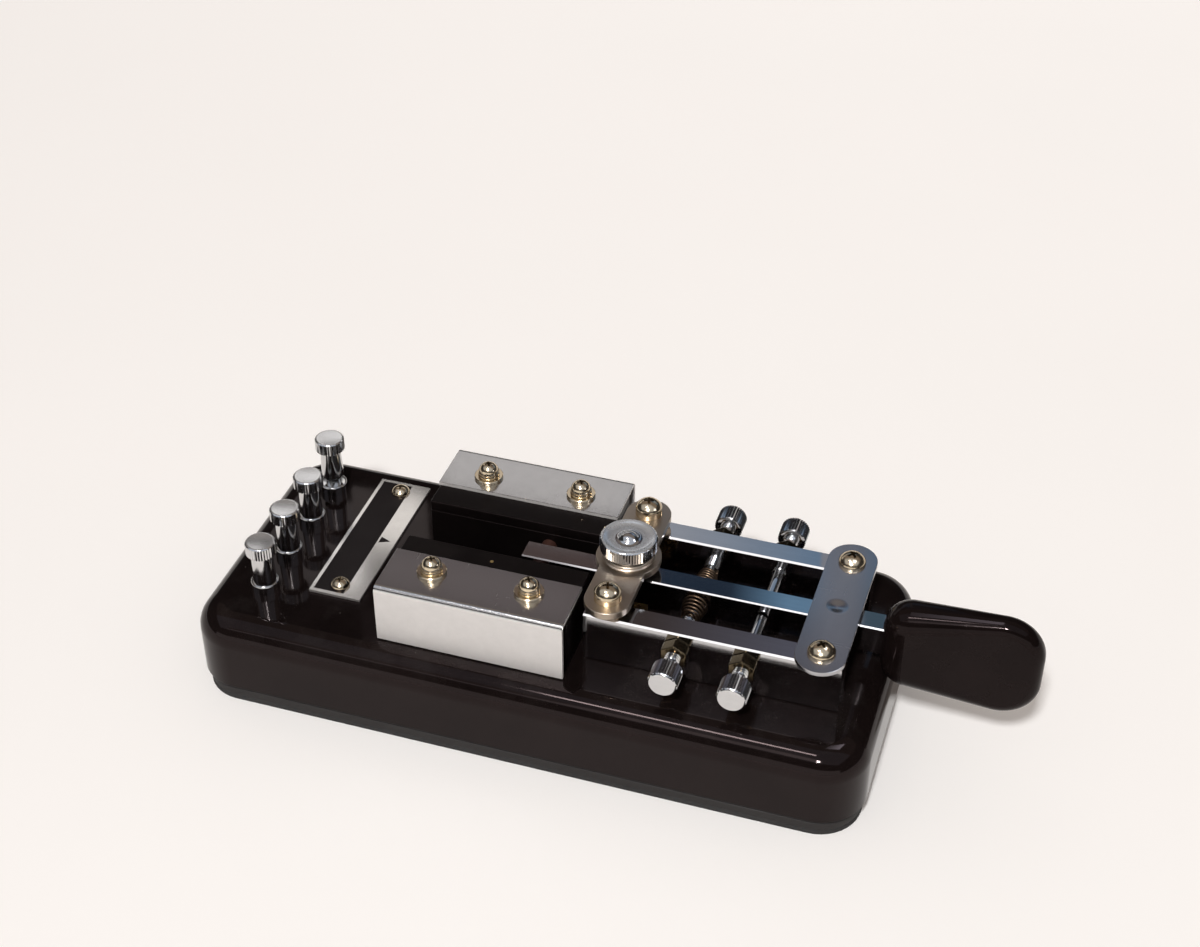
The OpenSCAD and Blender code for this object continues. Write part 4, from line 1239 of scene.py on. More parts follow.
@dataclass
class Knob:
    """The pivot screw: shank, knurled rim, shallow dish and domed middle.

    Attributes:
        shank: radius of the shank.
        shank_ease: easing of its foot.
        rim_height: height of the knurled rim.
        teeth: teeth round it.
        tooth: depth of the knurl.
        rim: plain height over and under the knurl.
        edge: easing of the rim's edges.
        dish: depth of the dish.
        dome_height: height of the dome over the dish.
        ball_share: share of the dome's height that is round, over its hollow foot.
        steep: slope where the one meets the other, in degrees.
    """

    shank: float = 2.5 * MM
    shank_ease: float = 0.2 * MM
    rim_height: float = 3.7 * MM
    teeth: int = 64
    tooth: float = 0.25 * MM
    rim: float = 0.3 * MM
    edge: float = 0.1 * MM
    dish: float = 0.6 * MM
    dome_height: float = 1.6 * MM
    ball_share: float = 0.68
    steep: float = 52.0

    def build(self) -> None:
        """Makes the knob, with its ring spun and tinted a light bluish painted reflection, and its dome
        bright.
        """
        low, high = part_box("pivot_screw")
        x, r = (low.x + high.x) / 2, (high.x - low.x) / 2
        top = high.z - self.dome_height + self.dish
        foot = top - self.rim_height
        valley = r - self.tooth
        lip = valley - self.rim
        below = [(low.z, self.shank - self.shank_ease), (low.z + self.shank_ease, self.shank),
                 (foot, self.shank), (foot, lip), (foot + self.edge, valley - self.edge)]
        above = [(top - self.edge, valley - self.edge), (top, lip)]
        above += [(top - share * self.dish, lip - inward)
                  for share, inward in ((0.0, 0.25 * MM), (0.5, 0.7 * MM), (0.9, 1.5 * MM), (1.0, 2.2 * MM))]
        dome = self.dome(top - self.dish, high.z)
        knob = Shape.knurled(below, (foot + self.rim, top - self.rim), above + dome, (r, valley), self.teeth)
        piece = deliver(Shape.placed(knob, at(x)), "pivot_knob", CHROME, "pivot_screw", "pivot_screw")
        # The ring's bluish colour and diffuse share paint in a light bluish reflection over the turned satin.
        spun = Turning("spun chrome knob", "chrome", (0.74, 0.77, 0.8), 0.24, metal=0.8, centre=(x, 0.0))
        face_up(piece, spun, top - 2 * self.dish, clear=dome[0][1] + 0.1 * MM)

    def dome(self, floor: float, top: float) -> list[Point]:
        """Heights and radii of the dome, from its hollow foot to its top.

        Args:
            floor: height of the dish.
            top: height of the dome's top.

        Returns:
            (height, radius) points, the first 0.1 mm outside the dome.
        """
        steep = math.radians(self.steep)
        full = self.dome_height / (1 - math.cos(steep))
        ball, fillet = self.ball_share * full, (1 - self.ball_share) * full
        foot = full * math.sin(steep)
        points = [(floor, foot + 0.1 * MM)]
        for k in range(1, 7):
            t = steep * k / 6
            points.append((floor + fillet * (1 - math.cos(t)), foot - fillet * math.sin(t)))
        for k in range(1, 9):
            t = steep * (1 - k / 8.2)
            points.append((top - ball * (1 - math.cos(t)), ball * math.sin(t)))
        return points


@dataclass
class Pivot:
    """The bridge across the rails with its screws, washers and pivot screw.

    Attributes:
        arm: half width of the bridge's arms.
        hub: radius of its round middle.
        boss: radius of the raised boss.
        boss_height: its height.
        boss_soft: radius of its shoulder.
        bore: radius of the lock washer's hole.
        screw: the bridge screws.
        washer: the spring washers under them.
    """

    arm: float = 5.8 * MM
    hub: float = 8.2 * MM
    boss: float = 6.6 * MM
    boss_height: float = 0.9 * MM
    boss_soft: float = 0.6 * MM
    bore: float = 2.55 * MM
    screw: PanScrew = PanScrew(3.4 * MM, 1.75 * MM)
    washer: SpringWasher = SpringWasher(3.4 * MM, 1.8 * MM, 1.6 * MM)

    def build(self) -> None:
        """Makes everything round the pivot."""
        low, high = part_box("pivot_bridge")
        x, reach = (low.x + high.x) / 2, (high.y - low.y) / 2 - self.arm
        top = high.z - self.boss_height
        plate = Shape.crisp(Shape.slab(self.outline(x, reach), low.z, top), 0.22 * MM, 3)
        bridge = Shape.joined([plate, Shape.placed(self.raised_boss(), at(x, 0.0, top))])
        deliver(bridge, "bridge_plate", BRIDGE_NICKEL, "base", "pivot_bridge")
        spots = [at(x, s.value * reach, top) for s in Side]
        washers = Shape.copies(self.washer.shape(), spots)
        deliver(washers, "split_washers", SCREW_NICKEL, "base", "bridge_washers")
        lifted = [at(z=self.washer.height) @ spot for spot in spots]
        self.screw.drive("bridge_screws", top + self.washer.height, "bridge_pan_screws", lifted)
        Knob().build()
        coat(SCREW_NICKEL, "bridge_spacers")
        coat(DARK_STEEL, "pivot_pin")
        coat(BEARING_BRASS, "lower_bearing")
        self.lock_washer()

    def outline(self, x: float, reach: float) -> list[Point]:
        """Plan of the bridge: two round-ended arms and a wider round hub.

        Args:
            x: where the bridge stands.
            reach: distance of the arms' ends from the hub's middle.

        Returns:
            Points round the plan.
        """
        waist = math.degrees(math.acos(self.arm / self.hub))
        far = arc((x, reach), self.arm, 0, 180, 24)
        left = arc((x, 0.0), self.hub, 180 - waist, 180 + waist, 16)
        near = arc((x, -reach), self.arm, 180, 360, 24)
        right = arc((x, 0.0), self.hub, -waist, waist, 16)
        return [*far, *left, *near, *right]

    def raised_boss(self) -> Solid:
        """Round boss with a soft shoulder, its foot let a little into the plate.

        Returns:
            The boss, over the plate's top at the origin.
        """
        soft, let_in = self.boss_soft, 0.1 * MM
        shoulder = arc((self.boss - 0.3 * MM - soft, self.boss_height - soft), soft, 0, 90, 8)
        profile = [(0.0, -let_in), (self.boss, -let_in), (self.boss, let_in / 2), *shoulder,
                   (0.0, self.boss_height)]
        return Shape.turned(profile, 72)

    def lock_washer(self) -> None:
        """Makes the dark washer under the knob."""
        low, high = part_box("pivot_washer")
        washer = Shape.washer(self.bore, (high.x - low.x) / 2, low.z, high.z, 64)
        washer = Shape.placed(washer, at((low.x + high.x) / 2))
        deliver(washer, "lock_washer", DARK_STEEL, "base", "pivot_washer")


@dataclass
class Rails:
    """The two rails and the guide strap across their front.

    Attributes:
        strap_half: half width of the strap.
        dimple: radius of the pressed dimple.
        dimple_depth: its depth.
        screw: the strap screws.
    """

    strap_half: float = 6.2 * MM
    dimple: float = 3.1 * MM
    dimple_depth: float = 0.4 * MM
    screw: PanScrew = PanScrew(3.4 * MM, 1.75 * MM, turn=40.0)

    def build(self) -> None:
        """Dresses the rails and makes the strap with its screws."""
        coat(RAIL_CHROME, "near_rail", "far_rail")
        coat(SCREW_NICKEL, "rail_screws")
        low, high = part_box("guide_strap")
        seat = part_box("near_rail")[1].z
        x, reach = (low.x + high.x) / 2, (high.y - low.y) / 2 - self.strap_half
        outline = [*arc((x, reach), self.strap_half, 0, 180, 28),
                   *arc((x, -reach), self.strap_half, 180, 360, 28)]
        strap = Shape.crisp(Shape.slab(outline, seat, high.z), 0.15 * MM)
        hole = Shape.placed(Shape.rod(self.dimple, 20 * MM, 72), at(x, 0.0, high.z))
        pressed = Shape.placed(self.pressed(seat, high.z), at(x))
        whole = Shape.joined([Shape.cut(strap, hole), pressed])
        deliver(whole, "strap_plate", STRAP_STEEL, "base", "guide_strap")
        rail = middle("far_rail").y
        spots = [at(x, s.value * rail, high.z) for s in Side]
        self.screw.drive("strap_screws", high.z, "strap_pan_screws", spots)

    def pressed(self, seat: float, top: float) -> Solid:
        """The pressed dimple, with a soft edge all round.

        Args:
            seat: height of the strap's underside.
            top: height of its top.

        Returns:
            The dimple's sheet about Z.
        """
        steps = 14
        sink = [(self.dimple * k / steps, self.dimple_depth * (1 + math.cos(math.pi * k / steps)) / 2)
                for k in range(steps + 1)]
        upper = [(r, top - depth) for r, depth in sink]
        lower = [(r, seat - depth) for r, depth in reversed(sink)]
        return Shape.turned([*upper, *lower], 72)


@dataclass
class Adjusters:
    """Tension and stop screws with their lock nuts.

    Attributes:
        head: radius of the knurled heads.
        head_length: their length.
        neck: radius under the heads.
        neck_length: its length.
        thread: radius of the threads.
        pitch: distance from one thread to the next.
        groove: depth between the threads.
        teeth: teeth round a head.
        tooth: depth of the knurl.
        ramp: easing of the edges.
        tip_ease: easing of the tips.
        nut_flats: width across a lock nut's flats.
        nut_height: a lock nut's thickness.
    """

    head: float = 3.7 * MM
    head_length: float = 6 * MM
    neck: float = 2.2 * MM
    neck_length: float = 1.6 * MM
    thread: float = 2.0 * MM
    pitch: float = 0.7 * MM
    groove: float = 0.28 * MM
    teeth: int = 34
    tooth: float = 0.26 * MM
    ramp: float = 0.12 * MM
    tip_ease: float = 0.2 * MM
    nut_flats: float = 6.4 * MM
    nut_height: float = 3.4 * MM

    def build(self) -> None:
        """Makes the four screws and the four nuts."""
        for side in Side:
            for kind in ("tension", "stop"):
                self.screw(side, kind)
        self.nuts()

    def screw(self, side: Side, kind: str) -> None:
        """Makes one screw, its tip towards the lever.

        Args:
            side: the side that it is on.
            kind: tension or stop.
        """
        node = f"{side.label}_{kind}_screw"
        tip, end = outward(node)
        tip_r, shoulder = 1.5 * MM, outward("far_rail")[0] - 0.5 * MM
        if kind == "tension":
            tip_r, shoulder = 1.2 * MM, tip + 2.2 * MM
        back = end - self.head_length
        valley, ramp = self.head - self.tooth, self.ramp
        below = [(tip, tip_r - self.tip_ease), (tip + self.tip_ease, tip_r), (shoulder, tip_r),
                 *self.threads(shoulder, back - self.neck_length), (back, self.neck),
                 (back, valley - 3 * ramp), (back + ramp, valley - ramp)]
        above = [(end - 1.5 * ramp, valley - ramp), (end - 0.4 * ramp, valley - 2 * ramp),
                 (end, valley - 3.4 * ramp)]
        band = (back + 3 * ramp, end - 4 * ramp)
        bm = Shape.knurled(below, band, above, (self.head, valley), self.teeth)
        centre = middle(node)
        deliver(Shape.placed(bm, side.laid(centre.x, centre.z)), f"{side.label}_{kind}_adjuster", CHROME,
                node, node)

    def threads(self, start: float, end: float) -> list[Point]:
        """Heights and radii of the threads and of the neck's foot.

        Args:
            start: height of the shoulder where the threads begin.
            end: height of the neck.

        Returns:
            (height, radius) points.
        """
        points = [(start, self.thread - self.ramp)]
        z = start
        while z + self.pitch < end:
            points += [(z + 0.15 * self.pitch, self.thread), (z + 0.45 * self.pitch, self.thread),
                       (z + 0.75 * self.pitch, self.thread - self.groove)]
            z += self.pitch
        return [*points, (end, self.thread), (end, self.neck - self.ramp), (end + self.ramp, self.neck)]

    def nuts(self) -> None:
        """Makes the hexagon lock nuts against the rails."""
        bm = bmesh.new()
        bmesh.ops.create_circle(bm, cap_ends=True, segments=6, radius=self.nut_flats / math.sqrt(3))
        grown = bmesh.ops.extrude_face_region(bm, geom=list(bm.faces))["geom"]
        top = [g for g in grown if isinstance(g, bmesh.types.BMVert)]
        bmesh.ops.translate(bm, vec=(0, 0, self.nut_height), verts=top)
        bmesh.ops.recalc_face_normals(bm, faces=bm.faces)
        blank = Shape.crisp(bm, 0.3 * MM, 3)
        nut = Shape.cut(blank, Shape.rod(self.thread + 0.05 * MM, 4 * self.nut_height, 40))
        out = outward("far_rail")[1] + 0.02 * MM
        spots = []
        for kind in ("tension", "stop"):
            centre = middle(f"far_{kind}_screw")
            spots += [side.laid(centre.x, centre.z, out) for side in (Side.FAR, Side.NEAR)]
        deliver(Shape.copies(nut, spots), "hexagon_lock_nuts", NUT_BRASS, "base", "lock_nuts")


@dataclass
class Springs:
    """The conical springs between the tension screws and the lever.

    Attributes:
        wire: diameter of the wire.
        curls: curls in one spring.
        wide: mean radius at the lever.
        narrow: mean radius at the screw.
        turn: radius of the quarter turn at each end.
        tail_turns: angles along that quarter turn, in degrees.
    """

    wire: float = 0.6 * MM
    curls: int = 5
    wide: float = 3.1 * MM
    narrow: float = 2.0 * MM
    turn: float = 0.45 * MM
    tail_turns: tuple[int, ...] = (20, 40, 60, 75, 90)

    def build(self) -> None:
        """Makes both springs, each as two lengths of wire."""
        for side in Side:
            self.spring(side)

    def spring(self, side: Side) -> None:
        """Makes one spring as a wire in two lengths that meet at its middle.

        Args:
            side: which spring.
        """
        inner, outer = outward(f"{side.label}_spring")
        start, end = inner + self.wire + self.turn, outer - self.wire - self.turn
        steps = 24 * self.curls
        coil = []
        for k in range(steps + 1):
            share = k / steps
            coil.append((2 * math.pi * self.curls * share, self.wide + (self.narrow - self.wide) * share,
                         start + (end - start) * share))
        half = steps // 2
        self.length(side, "inner", "lever", coil[half::-1], -1)
        self.length(side, "outer", f"{side.label}_tension_screw", coil[half:], 1)

    def length(self, side: Side, part: str, body: str, coil: Sequence[Place], way: int) -> None:
        """Makes one length of wire, from the spring's middle to one of its ends.

        Args:
            side: which spring.
            part: which of its two lengths.
            body: what the length's end should move with; it is only named in the log, and the piece is not
                attached to it.
            coil: the curls' middle line as angle, radius and distance out.
            way: -1 towards the lever, 1 towards the screw.
        """
        axis = middle(f"{side.label}_tension_screw")
        curve = bpy.data.curves.new("spring wire", "CURVE")
        curve.dimensions = "3D"
        curve.bevel_depth = self.wire / 2
        curve.bevel_resolution = 3
        curve.use_fill_caps = True
        spline = curve.splines.new("POLY")
        route = [*coil, *self.tail(coil[-1], way)]
        spline.points.add(len(route) - 1)
        for point, (angle, r, out) in zip(spline.points, route):
            x, z = r * math.cos(angle), r * math.sin(angle)
            point.co = (axis.x + side.value * x, side.value * out, axis.z + z, 1.0)
        holder = put("spring wire", curve)
        bpy.context.view_layer.update()
        shown = holder.evaluated_get(bpy.context.evaluated_depsgraph_get())
        mesh = bpy.data.meshes.new_from_object(shown)
        bpy.data.objects.remove(holder)
        mesh.name = f"{side.label}_{part}_coil"
        mesh.polygons.foreach_set("use_smooth", [True] * len(mesh.polygons))
        mesh.materials.clear()
        mesh.materials.append(SPRING_BRONZE.material())
        piece = put(mesh.name, mesh)
        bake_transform(piece)
        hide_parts(f"{side.label}_spring")
        LOG.info("%s: %d faces from base to %s", piece.name, len(mesh.polygons), body)

    def tail(self, knot: Place, way: int) -> list[Place]:
        """The wire's quarter turn and straight end.

        Args:
            knot: angle, radius and distance out where the coil ends.
            way: -1 at the lever, 1 at the screw.

        Returns:
            Further points, outward from the coil.
        """
        angle, r, out = knot
        full = self.turn / r
        points = []
        for t in map(math.radians, self.tail_turns):
            points.append((angle + way * full * math.sin(t), r, out + way * self.turn * (1 - math.cos(t))))
        return [*points, (angle + way * full, r, out + way * (self.turn + self.wire))]


@dataclass(frozen=True)
class Rim:
    """One end of the paddle: two discs with rolled rims, one above the other.

    Attributes:
        x: where the discs' middles stand.
        upper: height of the upper disc's middle.
        lower: height of the lower disc's middle.
        radius: the discs' radius.
        thick: their thickness.
        roll: radius of the rolled rim.
        steps: chords across a quarter of the rim.
    """

    x: float
    upper: float
    lower: float
    radius: float
    thick: float
    roll: float
    steps: int = 8

    def section(self, turn: float) -> list[Vector]:
        """Outline of the paddle where it crosses this end.

        Args:
            turn: angle of the crossing round the discs, from -90 degrees at the root to 90 at the tip,
                in radians.

        Returns:
            Points round the outline, from the top down the far side and up the near side.
        """
        along = self.radius * math.sin(turn)
        core = self.radius - self.roll
        open_to = math.pi / 2
        if abs(along) > core:
            open_to = math.acos(min(1.0, (abs(along) - core) / self.roll))
        quarter = []
        for k in range(self.steps + 1):
            lean = open_to * k / self.steps
            reach = core + self.roll * math.cos(lean)
            tall = math.sqrt(max(0.0, reach * reach - along * along))
            quarter.append((self.thick / 2 - self.roll + self.roll * math.sin(lean), tall))
        x = self.x + along
        down = [Vector((x, y, self.upper + tall)) for y, tall in quarter]
        down += [Vector((x, y, self.lower - tall)) for y, tall in reversed(quarter)]
        return down + [Vector((x, -p.y, p.z)) for p in reversed(down)]


@dataclass
class Lever:
    """The lever with its moulded paddle.

    Attributes:
        root_radius: radius of the paddle's corners at the root, seen from the side.
        tip_radius: radius of its corners at the tip.
        root_height: height at the root.
        tip_height: height at the tip.
        root_thick: thickness at the root.
        tip_thick: thickness at the tip.
        root_drop: how far the root's middle lies below the lever's.
        tip_drop: how far the tip's middle lies below the lever's.
        root_flat: half width of the flat on the root's rim.
        tip_flat: half width of the flat on the tip's rim.
        lean: slope of the edges between the two ends, in degrees.
    """

    root_radius: float = 7 * MM
    tip_radius: float = 10.2 * MM
    root_height: float = 23.7 * MM
    tip_height: float = 28.1 * MM
    root_thick: float = 11.4 * MM
    tip_thick: float = 6.6 * MM
    root_drop: float = 0.9 * MM
    tip_drop: float = 1.4 * MM
    root_flat: float = 0.6 * MM
    tip_flat: float = 0.3 * MM
    lean: float = 4.5

    def build(self) -> None:
        """Dresses the lever and makes the paddle."""
        coat(LEVER_CHROME, "lever")
        coat(DARK_STEEL, "paddle_stud")
        deliver(self.paddle(), "finger_paddle", PADDLE_BLACK, "lever", "paddle", crease=80.0)

    def paddle(self) -> Solid:
        """Flat-faced paddle with a full round rim, thinner and taller towards its tip.

        Returns:
            The paddle.
        """
        low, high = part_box("paddle")
        level = middle("lever").z
        root_reach, tip_reach = self.root_height / 2 - self.root_radius, self.tip_height / 2 - self.tip_radius
        root_z, tip_z = level - self.root_drop, level - self.tip_drop
        root = Rim(low.x + self.root_radius, root_z + root_reach, root_z - root_reach, self.root_radius,
                   self.root_thick, self.root_thick / 2 - self.root_flat)
        tip = Rim(high.x - self.tip_radius, tip_z + tip_reach, tip_z - tip_reach, self.tip_radius,
                  self.tip_thick, self.tip_thick / 2 - self.tip_flat)
        quarter, lean, steps = math.pi / 2, math.radians(self.lean), 22
        sections = [root.section(-(quarter - (quarter - lean) * k / steps)) for k in range(steps + 1)]
        sections += [tip.section(-lean * (1 - k / 2)) for k in range(2)]
        sections += [tip.section(quarter * k / steps) for k in range(steps + 1)]
        return Shape.lofted(sections)


@dataclass
class Switches:
    """The two snap-action switches under their brackets.

    Attributes:
        sheet: thickness of the brackets.
        bend: outer radius of their bend.
        case_edge: rounding of the cases' edges.
        cover_edge: rounding of the covers' edges.
        screw: the switch screws.
        washer: radius of the flat washers.
        washer_bore: radius of their holes.
        washer_height: their thickness.
        spring_washer: the spring washers over them.
        plunger_r: radius of the plungers.
        plunger_dome: height of their domed tips.
        flange: thickness of the plungers' flanges.
        rivet: where the near cover's little rivet stands, in X and Y.
    """

    sheet: float = 1 * MM
    bend: float = 1.6 * MM
    case_edge: float = 0.25 * MM
    cover_edge: float = 0.35 * MM
    screw: PanScrew = PanScrew(2.6 * MM, 1.75 * MM, turn=30.0)
    washer: float = 3.75 * MM
    washer_bore: float = 1.8 * MM
    washer_height: float = 0.8 * MM
    spring_washer: SpringWasher = SpringWasher(2.8 * MM, 1.8 * MM, 1 * MM)
    plunger_r: float = 2.0 * MM
    plunger_dome: float = 0.42 * MM
    flange: float = 1.2 * MM
    rivet: Point = (-13.4 * MM, -10.8 * MM)

    def build(self) -> None:
        """Makes both switches, their brackets and their fastenings."""
        for side in Side:
            self.body(side.label)
            self.bracket(side)
            self.plunger(side)
            coat(CONTACT_BRASS, f"{side.label}_switch_blade", f"{side.label}_switch_terminals")
        coat(SCREW_NICKEL, "switch_nuts")
        self.dot()
        self.fastenings()

    def body(self, name: str) -> None:
        """Makes one switch's case and cover, with a fine seam between them.

        Args:
            name: the side's word.
        """
        for part, edge in (("case", self.case_edge), ("cover", self.cover_edge)):
            node = f"{name}_switch_{part}"
            block = Shape.crisp(Shape.block(*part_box(node)), edge, 3)
            deliver(block, f"{name}_moulded_{part}", SWITCH_BLACK, "base", node)

    def dot(self) -> None:
        """Makes the little brass rivet in the near cover's top."""
        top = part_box("near_switch_cover")[1].z
        head = ((0.0, -0.2), (0.45, -0.2), (0.45, 0.03), (0.3, 0.09), (0.0, 0.1))
        rivet = Shape.turned([(r * MM, z * MM) for r, z in head], 24)
        deliver(Shape.placed(rivet, at(*self.rivet, top)), "cover_rivet", CONTACT_BRASS, "base")

    def bracket(self, side: Side) -> None:
        """Makes one bent bracket from its end view.

        Args:
            side: which bracket.
        """
        node = f"{side.label}_bracket"
        low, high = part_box(node)
        inner, outer = outward(node)
        centre = (outer - self.bend, high.z - self.bend)
        outline = [(inner, high.z), *arc(centre, self.bend, 90, 0, 10), (outer, low.z),
                   (outer - self.sheet, low.z), *arc(centre, self.bend - self.sheet, 0, 90, 10),
                   (inner, high.z - self.sheet)]
        stand = Matrix(((0, 0, 1, 0), (side.value, 0, 0, 0), (0, 1, 0, 0), (0, 0, 0, 1)))
        bent = Shape.placed(Shape.slab(outline, low.x, high.x), stand)
        bmesh.ops.recalc_face_normals(bent, faces=bent.faces)
        bent = Shape.crisp(bent, 0.1 * MM)
        # The sides wear the painted-light copy; face_up gives the upward faces the plain plating.
        piece = deliver(bent, f"{side.label}_bent_bracket", BRACKET_SIDE_PAINTED_LIGHT, "base", node)
        face_up(piece, BRACKET_STEEL, high.z - self.bend, tilt=0.25)

    def plunger(self, side: Side) -> None:
        """Makes one plunger with its domed tip.

        Args:
            side: which plunger.
        """
        name = f"{side.label}_plunger"
        low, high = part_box(name)
        tip, back = outward(name)
        wide, r = (high.z - low.z) / 2, self.plunger_r
        dome = [(r * s, tip + self.plunger_dome * s * s) for s in (0.0, 0.3, 0.55, 0.75, 0.9, 1.0)]
        seat = back - self.flange
        button = Shape.turned([*dome, (r, seat), (wide, seat), (wide, back), (0.0, back)], 40)
        centre = middle(name)
        button = Shape.placed(button, side.laid(centre.x, centre.z))
        deliver(button, f"{name}_button", PLUNGER_BROWN, name, name)

    def fastenings(self) -> None:
        """Makes the switch screws with their spring washers and flat washers."""
        low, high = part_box("switch_washers")
        xs, y = (low.x + self.washer, high.x - self.washer), high.y - self.washer
        spots = [at(x, s.value * y, low.z) for x in xs for s in Side]
        flat = Shape.washer(self.washer_bore, self.washer, 0.0, self.washer_height, 56)
        deliver(Shape.copies(flat, spots), "flat_washers", SCREW_NICKEL, "base", "switch_washers")
        lifted = [at(z=self.washer_height) @ spot for spot in spots]
        sprung = Shape.copies(self.spring_washer.shape(), lifted)
        deliver(sprung, "switch_spring_washers", SCREW_NICKEL, "base", "switch_lock_washers")
        lift = self.washer_height + self.spring_washer.height
        topped = [at(z=lift) @ spot for spot in spots]
        self.screw.drive("switch_screws", low.z + lift, "switch_pan_screws", topped)


@dataclass(frozen=True)
class Card:
    """A card that only reflections see, as a photographer hangs round plated metal.

    Attributes:
        name: what it is.
        low: its lowest corner.
        high: its highest corner.
        colour: the light that it gives back.
        right: the light that it gives back at its right, where that differs.
        fade: where along X the one turns into the other.
    """

    name: str
    low: Place
    high: Place
    colour: Colour
    right: Optional[Colour] = None
    fade: Point = UNIT

    def hang(self) -> None:
        """Puts the card up, out of the camera's sight."""
        mesh = Shape.mesh(Shape.block(Vector(self.low), Vector(self.high)), self.name)
        mesh.materials.append(self.material())
        card = put(self.name, mesh)
        for ray in ("camera", "diffuse", "shadow", "transmission"):
            setattr(card, f"visible_{ray}", False)

    def material(self) -> bpy.types.Material:
        """The card's plain glow.

        Returns:
            Its material.
        """
        made, g = Graph.material(self.name)
        share = g.remap(g.part(g.place(), "X"), self.fade)
        tone = g.mix(share, (*self.colour, 1.0), (*(self.right or self.colour), 1.0))
        g.finish("Material", g.add("ShaderNodeEmission", {"Color": tone, "Strength": 1.0}))
        return made


DARK = (0.03, 0.029, 0.03)
BACK_Y, BACK_END = 0.085, 0.087
OVER_Y, OVER_END = 0.084, 0.0845
STRIP_Y, STRIP_END = -0.602, -0.6
CARDS = (
    Card("ceiling card", (-1.8, 0.1, 1.4), (1.8, 1.2, 1.402), (0.2, 0.17, 0.15)),
    Card("front ceiling card", (-1.8, -1.4, 1.4), (1.8, 0.1, 1.402), (0.46, 0.49, 0.55)),
    Card("back card", (-1.8, 1.198, 0.12), (1.8, 1.2, 1.4), DARK),
    Card("front card", (-1.8, -1.4, 0.5), (1.8, -1.398, 1.4), DARK),
    Card("left card", (-1.8, -1.4, 0.12), (-1.798, 1.2, 1.4), DARK),
    Card("right card", (1.798, -1.4, 0.12), (1.8, 1.2, 1.4), DARK),
    Card("rail strip", (-0.5, STRIP_Y, 0.637), (0.05, STRIP_END, 0.675), (1.7, 1.65, 1.65)),
    Card("lever strip", (-0.5, STRIP_Y, 0.675), (0.05, STRIP_END, 0.92), (0.3, 0.27, 0.27),
         (1.6, 1.55, 1.55), (-0.237, -0.205)),
    Card("edge strip", (-0.2, -0.295, 0.8), (0.0, -0.235, 0.802), (22.0, 21.0, 21.0)),
    Card("paddle band", (0.078, -0.011, 0.1), (0.105, 0.013, 0.1005), (1.4, 1.45, 1.6),
         (6.0, 6.2, 7.0), (0.08, 0.104)),
    Card("pale card", (-0.135, BACK_Y, 0.085), (-0.099, BACK_END, 0.124), (1.0, 0.98, 0.97)),
    Card("label card", (-0.099, BACK_Y, 0.078), (-0.074, BACK_END, 0.1), (1.0, 0.96, 0.92)),
    Card("tail card", (-0.075, OVER_Y, 0.109), (0.003, OVER_END, 0.121), (0.085, 0.06, 0.055)),
    Card("white card", (-0.07, BACK_Y, 0.082), (-0.004, BACK_END, 0.108), (0.68, 0.66, 0.66)),
    Card("grey card", (-0.1, BACK_Y, 0.13), (-0.02, BACK_END, 0.155), (0.17, 0.145, 0.15)),
    Card("low strip", (-0.004, BACK_Y, 0.085), (0.085, BACK_END, 0.104), (0.36, 0.385, 0.44),
         (0.16, 0.25, 0.37), (0.01, 0.055)),
    Card("strap card", (0.053, OVER_Y, 0.085), (0.0665, OVER_END, 0.135), (0.28, 0.285, 0.32)),
    Card("tip card", (0.0665, OVER_Y, 0.106), (0.085, OVER_END, 0.121), (0.06, 0.095, 0.125)),
    Card("middle strip", (-0.02, BACK_Y, 0.104), (0.085, BACK_END, 0.121), (0.018, 0.03, 0.05),
         (0.145, 0.26, 0.385), (0.026, 0.044)),
    Card("high strip", (-0.02, BACK_Y, 0.121), (0.085, BACK_END, 0.155), (0.06, 0.046, 0.044),
         (0.11, 0.11, 0.14), (0.0, 0.045)),
)


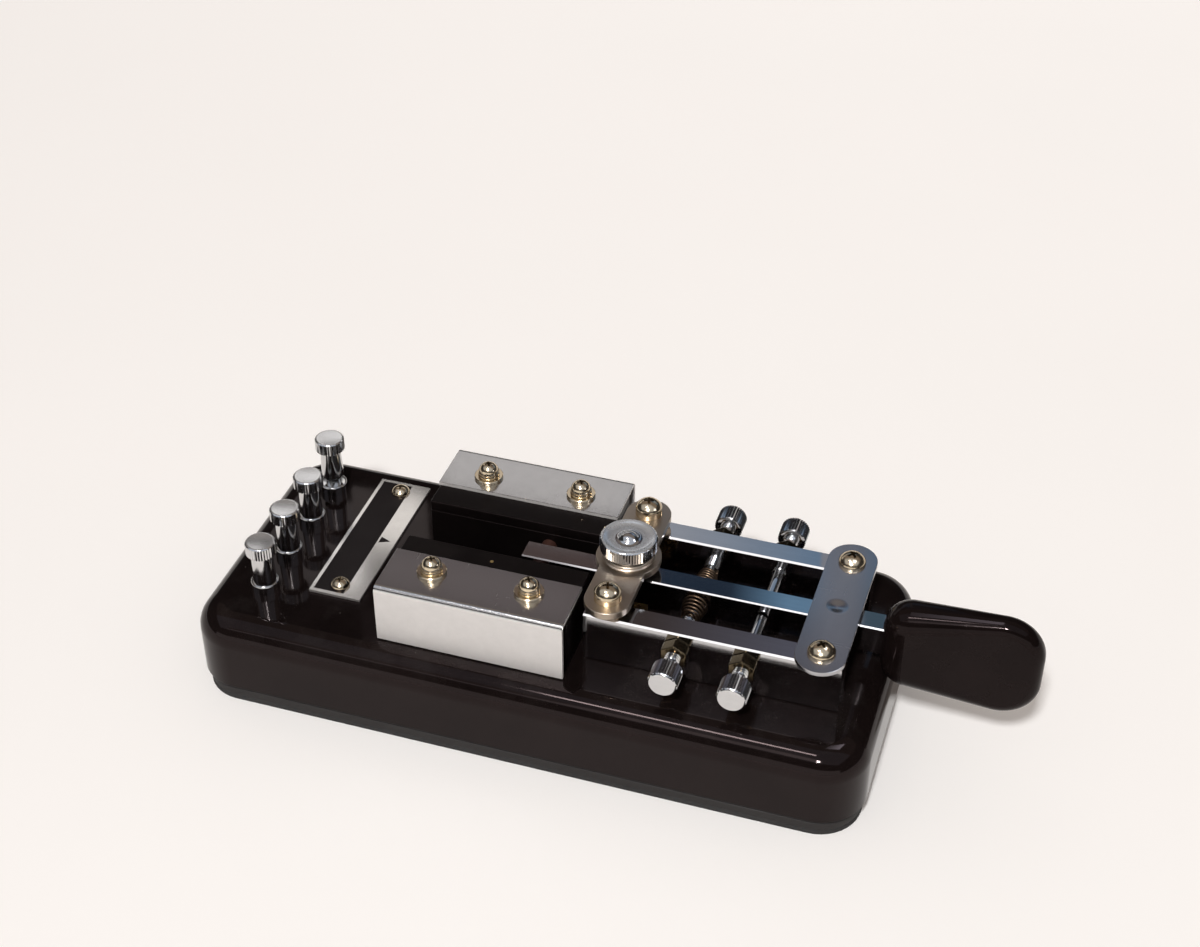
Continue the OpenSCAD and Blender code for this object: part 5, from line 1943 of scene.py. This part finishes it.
@dataclass
class Studio:
    """Floor, light and the camera at the photograph's view.

    Attributes:
        azimuth: camera's direction round the key, in degrees.
        elevation: its height over the horizon, in degrees.
        eye: where the camera stands.
        focal: focal length on a 36 mm wide sensor, in millimetres.
        lamp: where the lamp hangs.
        lamp_size: its width.
        lamp_power: its power, in watts.
        lift: glow of the floor to the camera, nearest and farthest.
        lift_span: where along Y the floor's glow grows.
    """

    azimuth: float = 17.81
    elevation: float = 37.55
    eye: Place = (0.1264, -0.358, 0.3558)
    focal: float = 58.78
    lamp: Place = (0.1, -0.96, 1.17)
    lamp_size: float = 0.13
    lamp_power: float = 17.0
    lift: Point = (0.025, 0.445)
    lift_span: Point = (-0.2, 0.7)

    def build(self) -> None:
        """Sets up everything that isn't the key."""
        bpy.context.scene.view_settings.view_transform = "Standard"
        self.camera()
        self.floor()
        self.world()
        self.lamps()
        for card in CARDS:
            card.hang()

    @staticmethod
    def aim(thing: bpy.types.Object, place: Place, way: Vector) -> None:
        """Stands a camera or lamp somewhere, looking one way.

        Args:
            thing: the camera or lamp.
            place: where it stands.
            way: the direction that it looks in.
        """
        thing.location = place
        thing.rotation_mode = "QUATERNION"
        thing.rotation_quaternion = way.to_track_quat("-Z", "Y")

    def camera(self) -> None:
        """Places the camera."""
        lens = bpy.data.cameras.new("photo view")
        lens.sensor_width = 36.0
        lens.lens = self.focal
        lens.clip_start, lens.clip_end = 0.01, 20.0
        camera = put("photo view", lens)
        a, e = math.radians(self.azimuth), math.radians(self.elevation)
        back = Vector((math.sin(a) * math.cos(e), -math.cos(a) * math.cos(e), math.sin(e)))
        self.aim(camera, self.eye, -back)
        bpy.context.scene.camera = camera

    def floor(self) -> None:
        """Lays a pale matte floor."""
        bm = bmesh.new()
        bmesh.ops.create_grid(bm, x_segments=1, y_segments=1, size=4.0)
        mesh = Shape.mesh(bm, "pale floor")
        material, g = Graph.material("pale floor")
        tone = g.noise(g.place(), 9.0, 3.0)
        colour = g.mix(tone, (0.885, 0.868, 0.852, 1.0), (0.91, 0.895, 0.88, 1.0))
        matte = g.add("ShaderNodeBsdfDiffuse", {"Color": colour})
        lift = g.remap(g.part(g.place(), "Y"), self.lift_span, self.lift)
        seen = g.times(g.add("ShaderNodeLightPath").outputs["Is Camera Ray"], lift)
        glow = g.add("ShaderNodeEmission", {"Color": (1.0, 0.985, 0.97, 1.0), "Strength": seen})
        g.finish("Material", g.add("ShaderNodeAddShader", {0: matte.outputs[0], 1: glow.outputs[0]}))
        mesh.materials.append(material)
        put("pale floor", mesh)

    def world(self) -> None:
        """Even light from all round, with a white surround for the eye and for reflections."""
        world = bpy.data.worlds.new("studio")
        bpy.context.scene.world = world
        world.use_nodes = True
        g = Graph(world.node_tree)
        path = g.add("ShaderNodeLightPath").outputs
        seen = g.math("MAXIMUM", path["Is Camera Ray"], path["Is Glossy Ray"])
        seen = g.math("MAXIMUM", seen, path["Is Transmission Ray"])
        tone = g.mix(seen, (1.0, 0.88, 0.8, 1.0), (1.0, 0.985, 0.96, 1.0))
        strength = g.remap(seen, UNIT, (0.36, 1.0))
        g.finish("World", g.add("ShaderNodeBackground", {"Color": tone, "Strength": strength}))

    def lamps(self) -> None:
        """Hangs one soft light in front of the key, a little over the camera."""
        light = bpy.data.lights.new("front softbox", "AREA")
        light.size = self.lamp_size
        light.energy = self.lamp_power
        self.aim(put("front softbox", light), self.lamp, -Vector(self.lamp))


def main() -> None:
    """Builds the studio, then the key's sub-assemblies in order."""
    logging.basicConfig(level=logging.INFO, format="%(message)s")
    for assembly in (Studio(), Base(), Nameplate(), Terminals(), Rails(), Pivot(), Adjusters(), Springs(),
                     Lever(), Switches()):
        assembly.build()
        LOG.info("%s built", type(assembly).__name__)


if __name__ == "__main__":
    main()
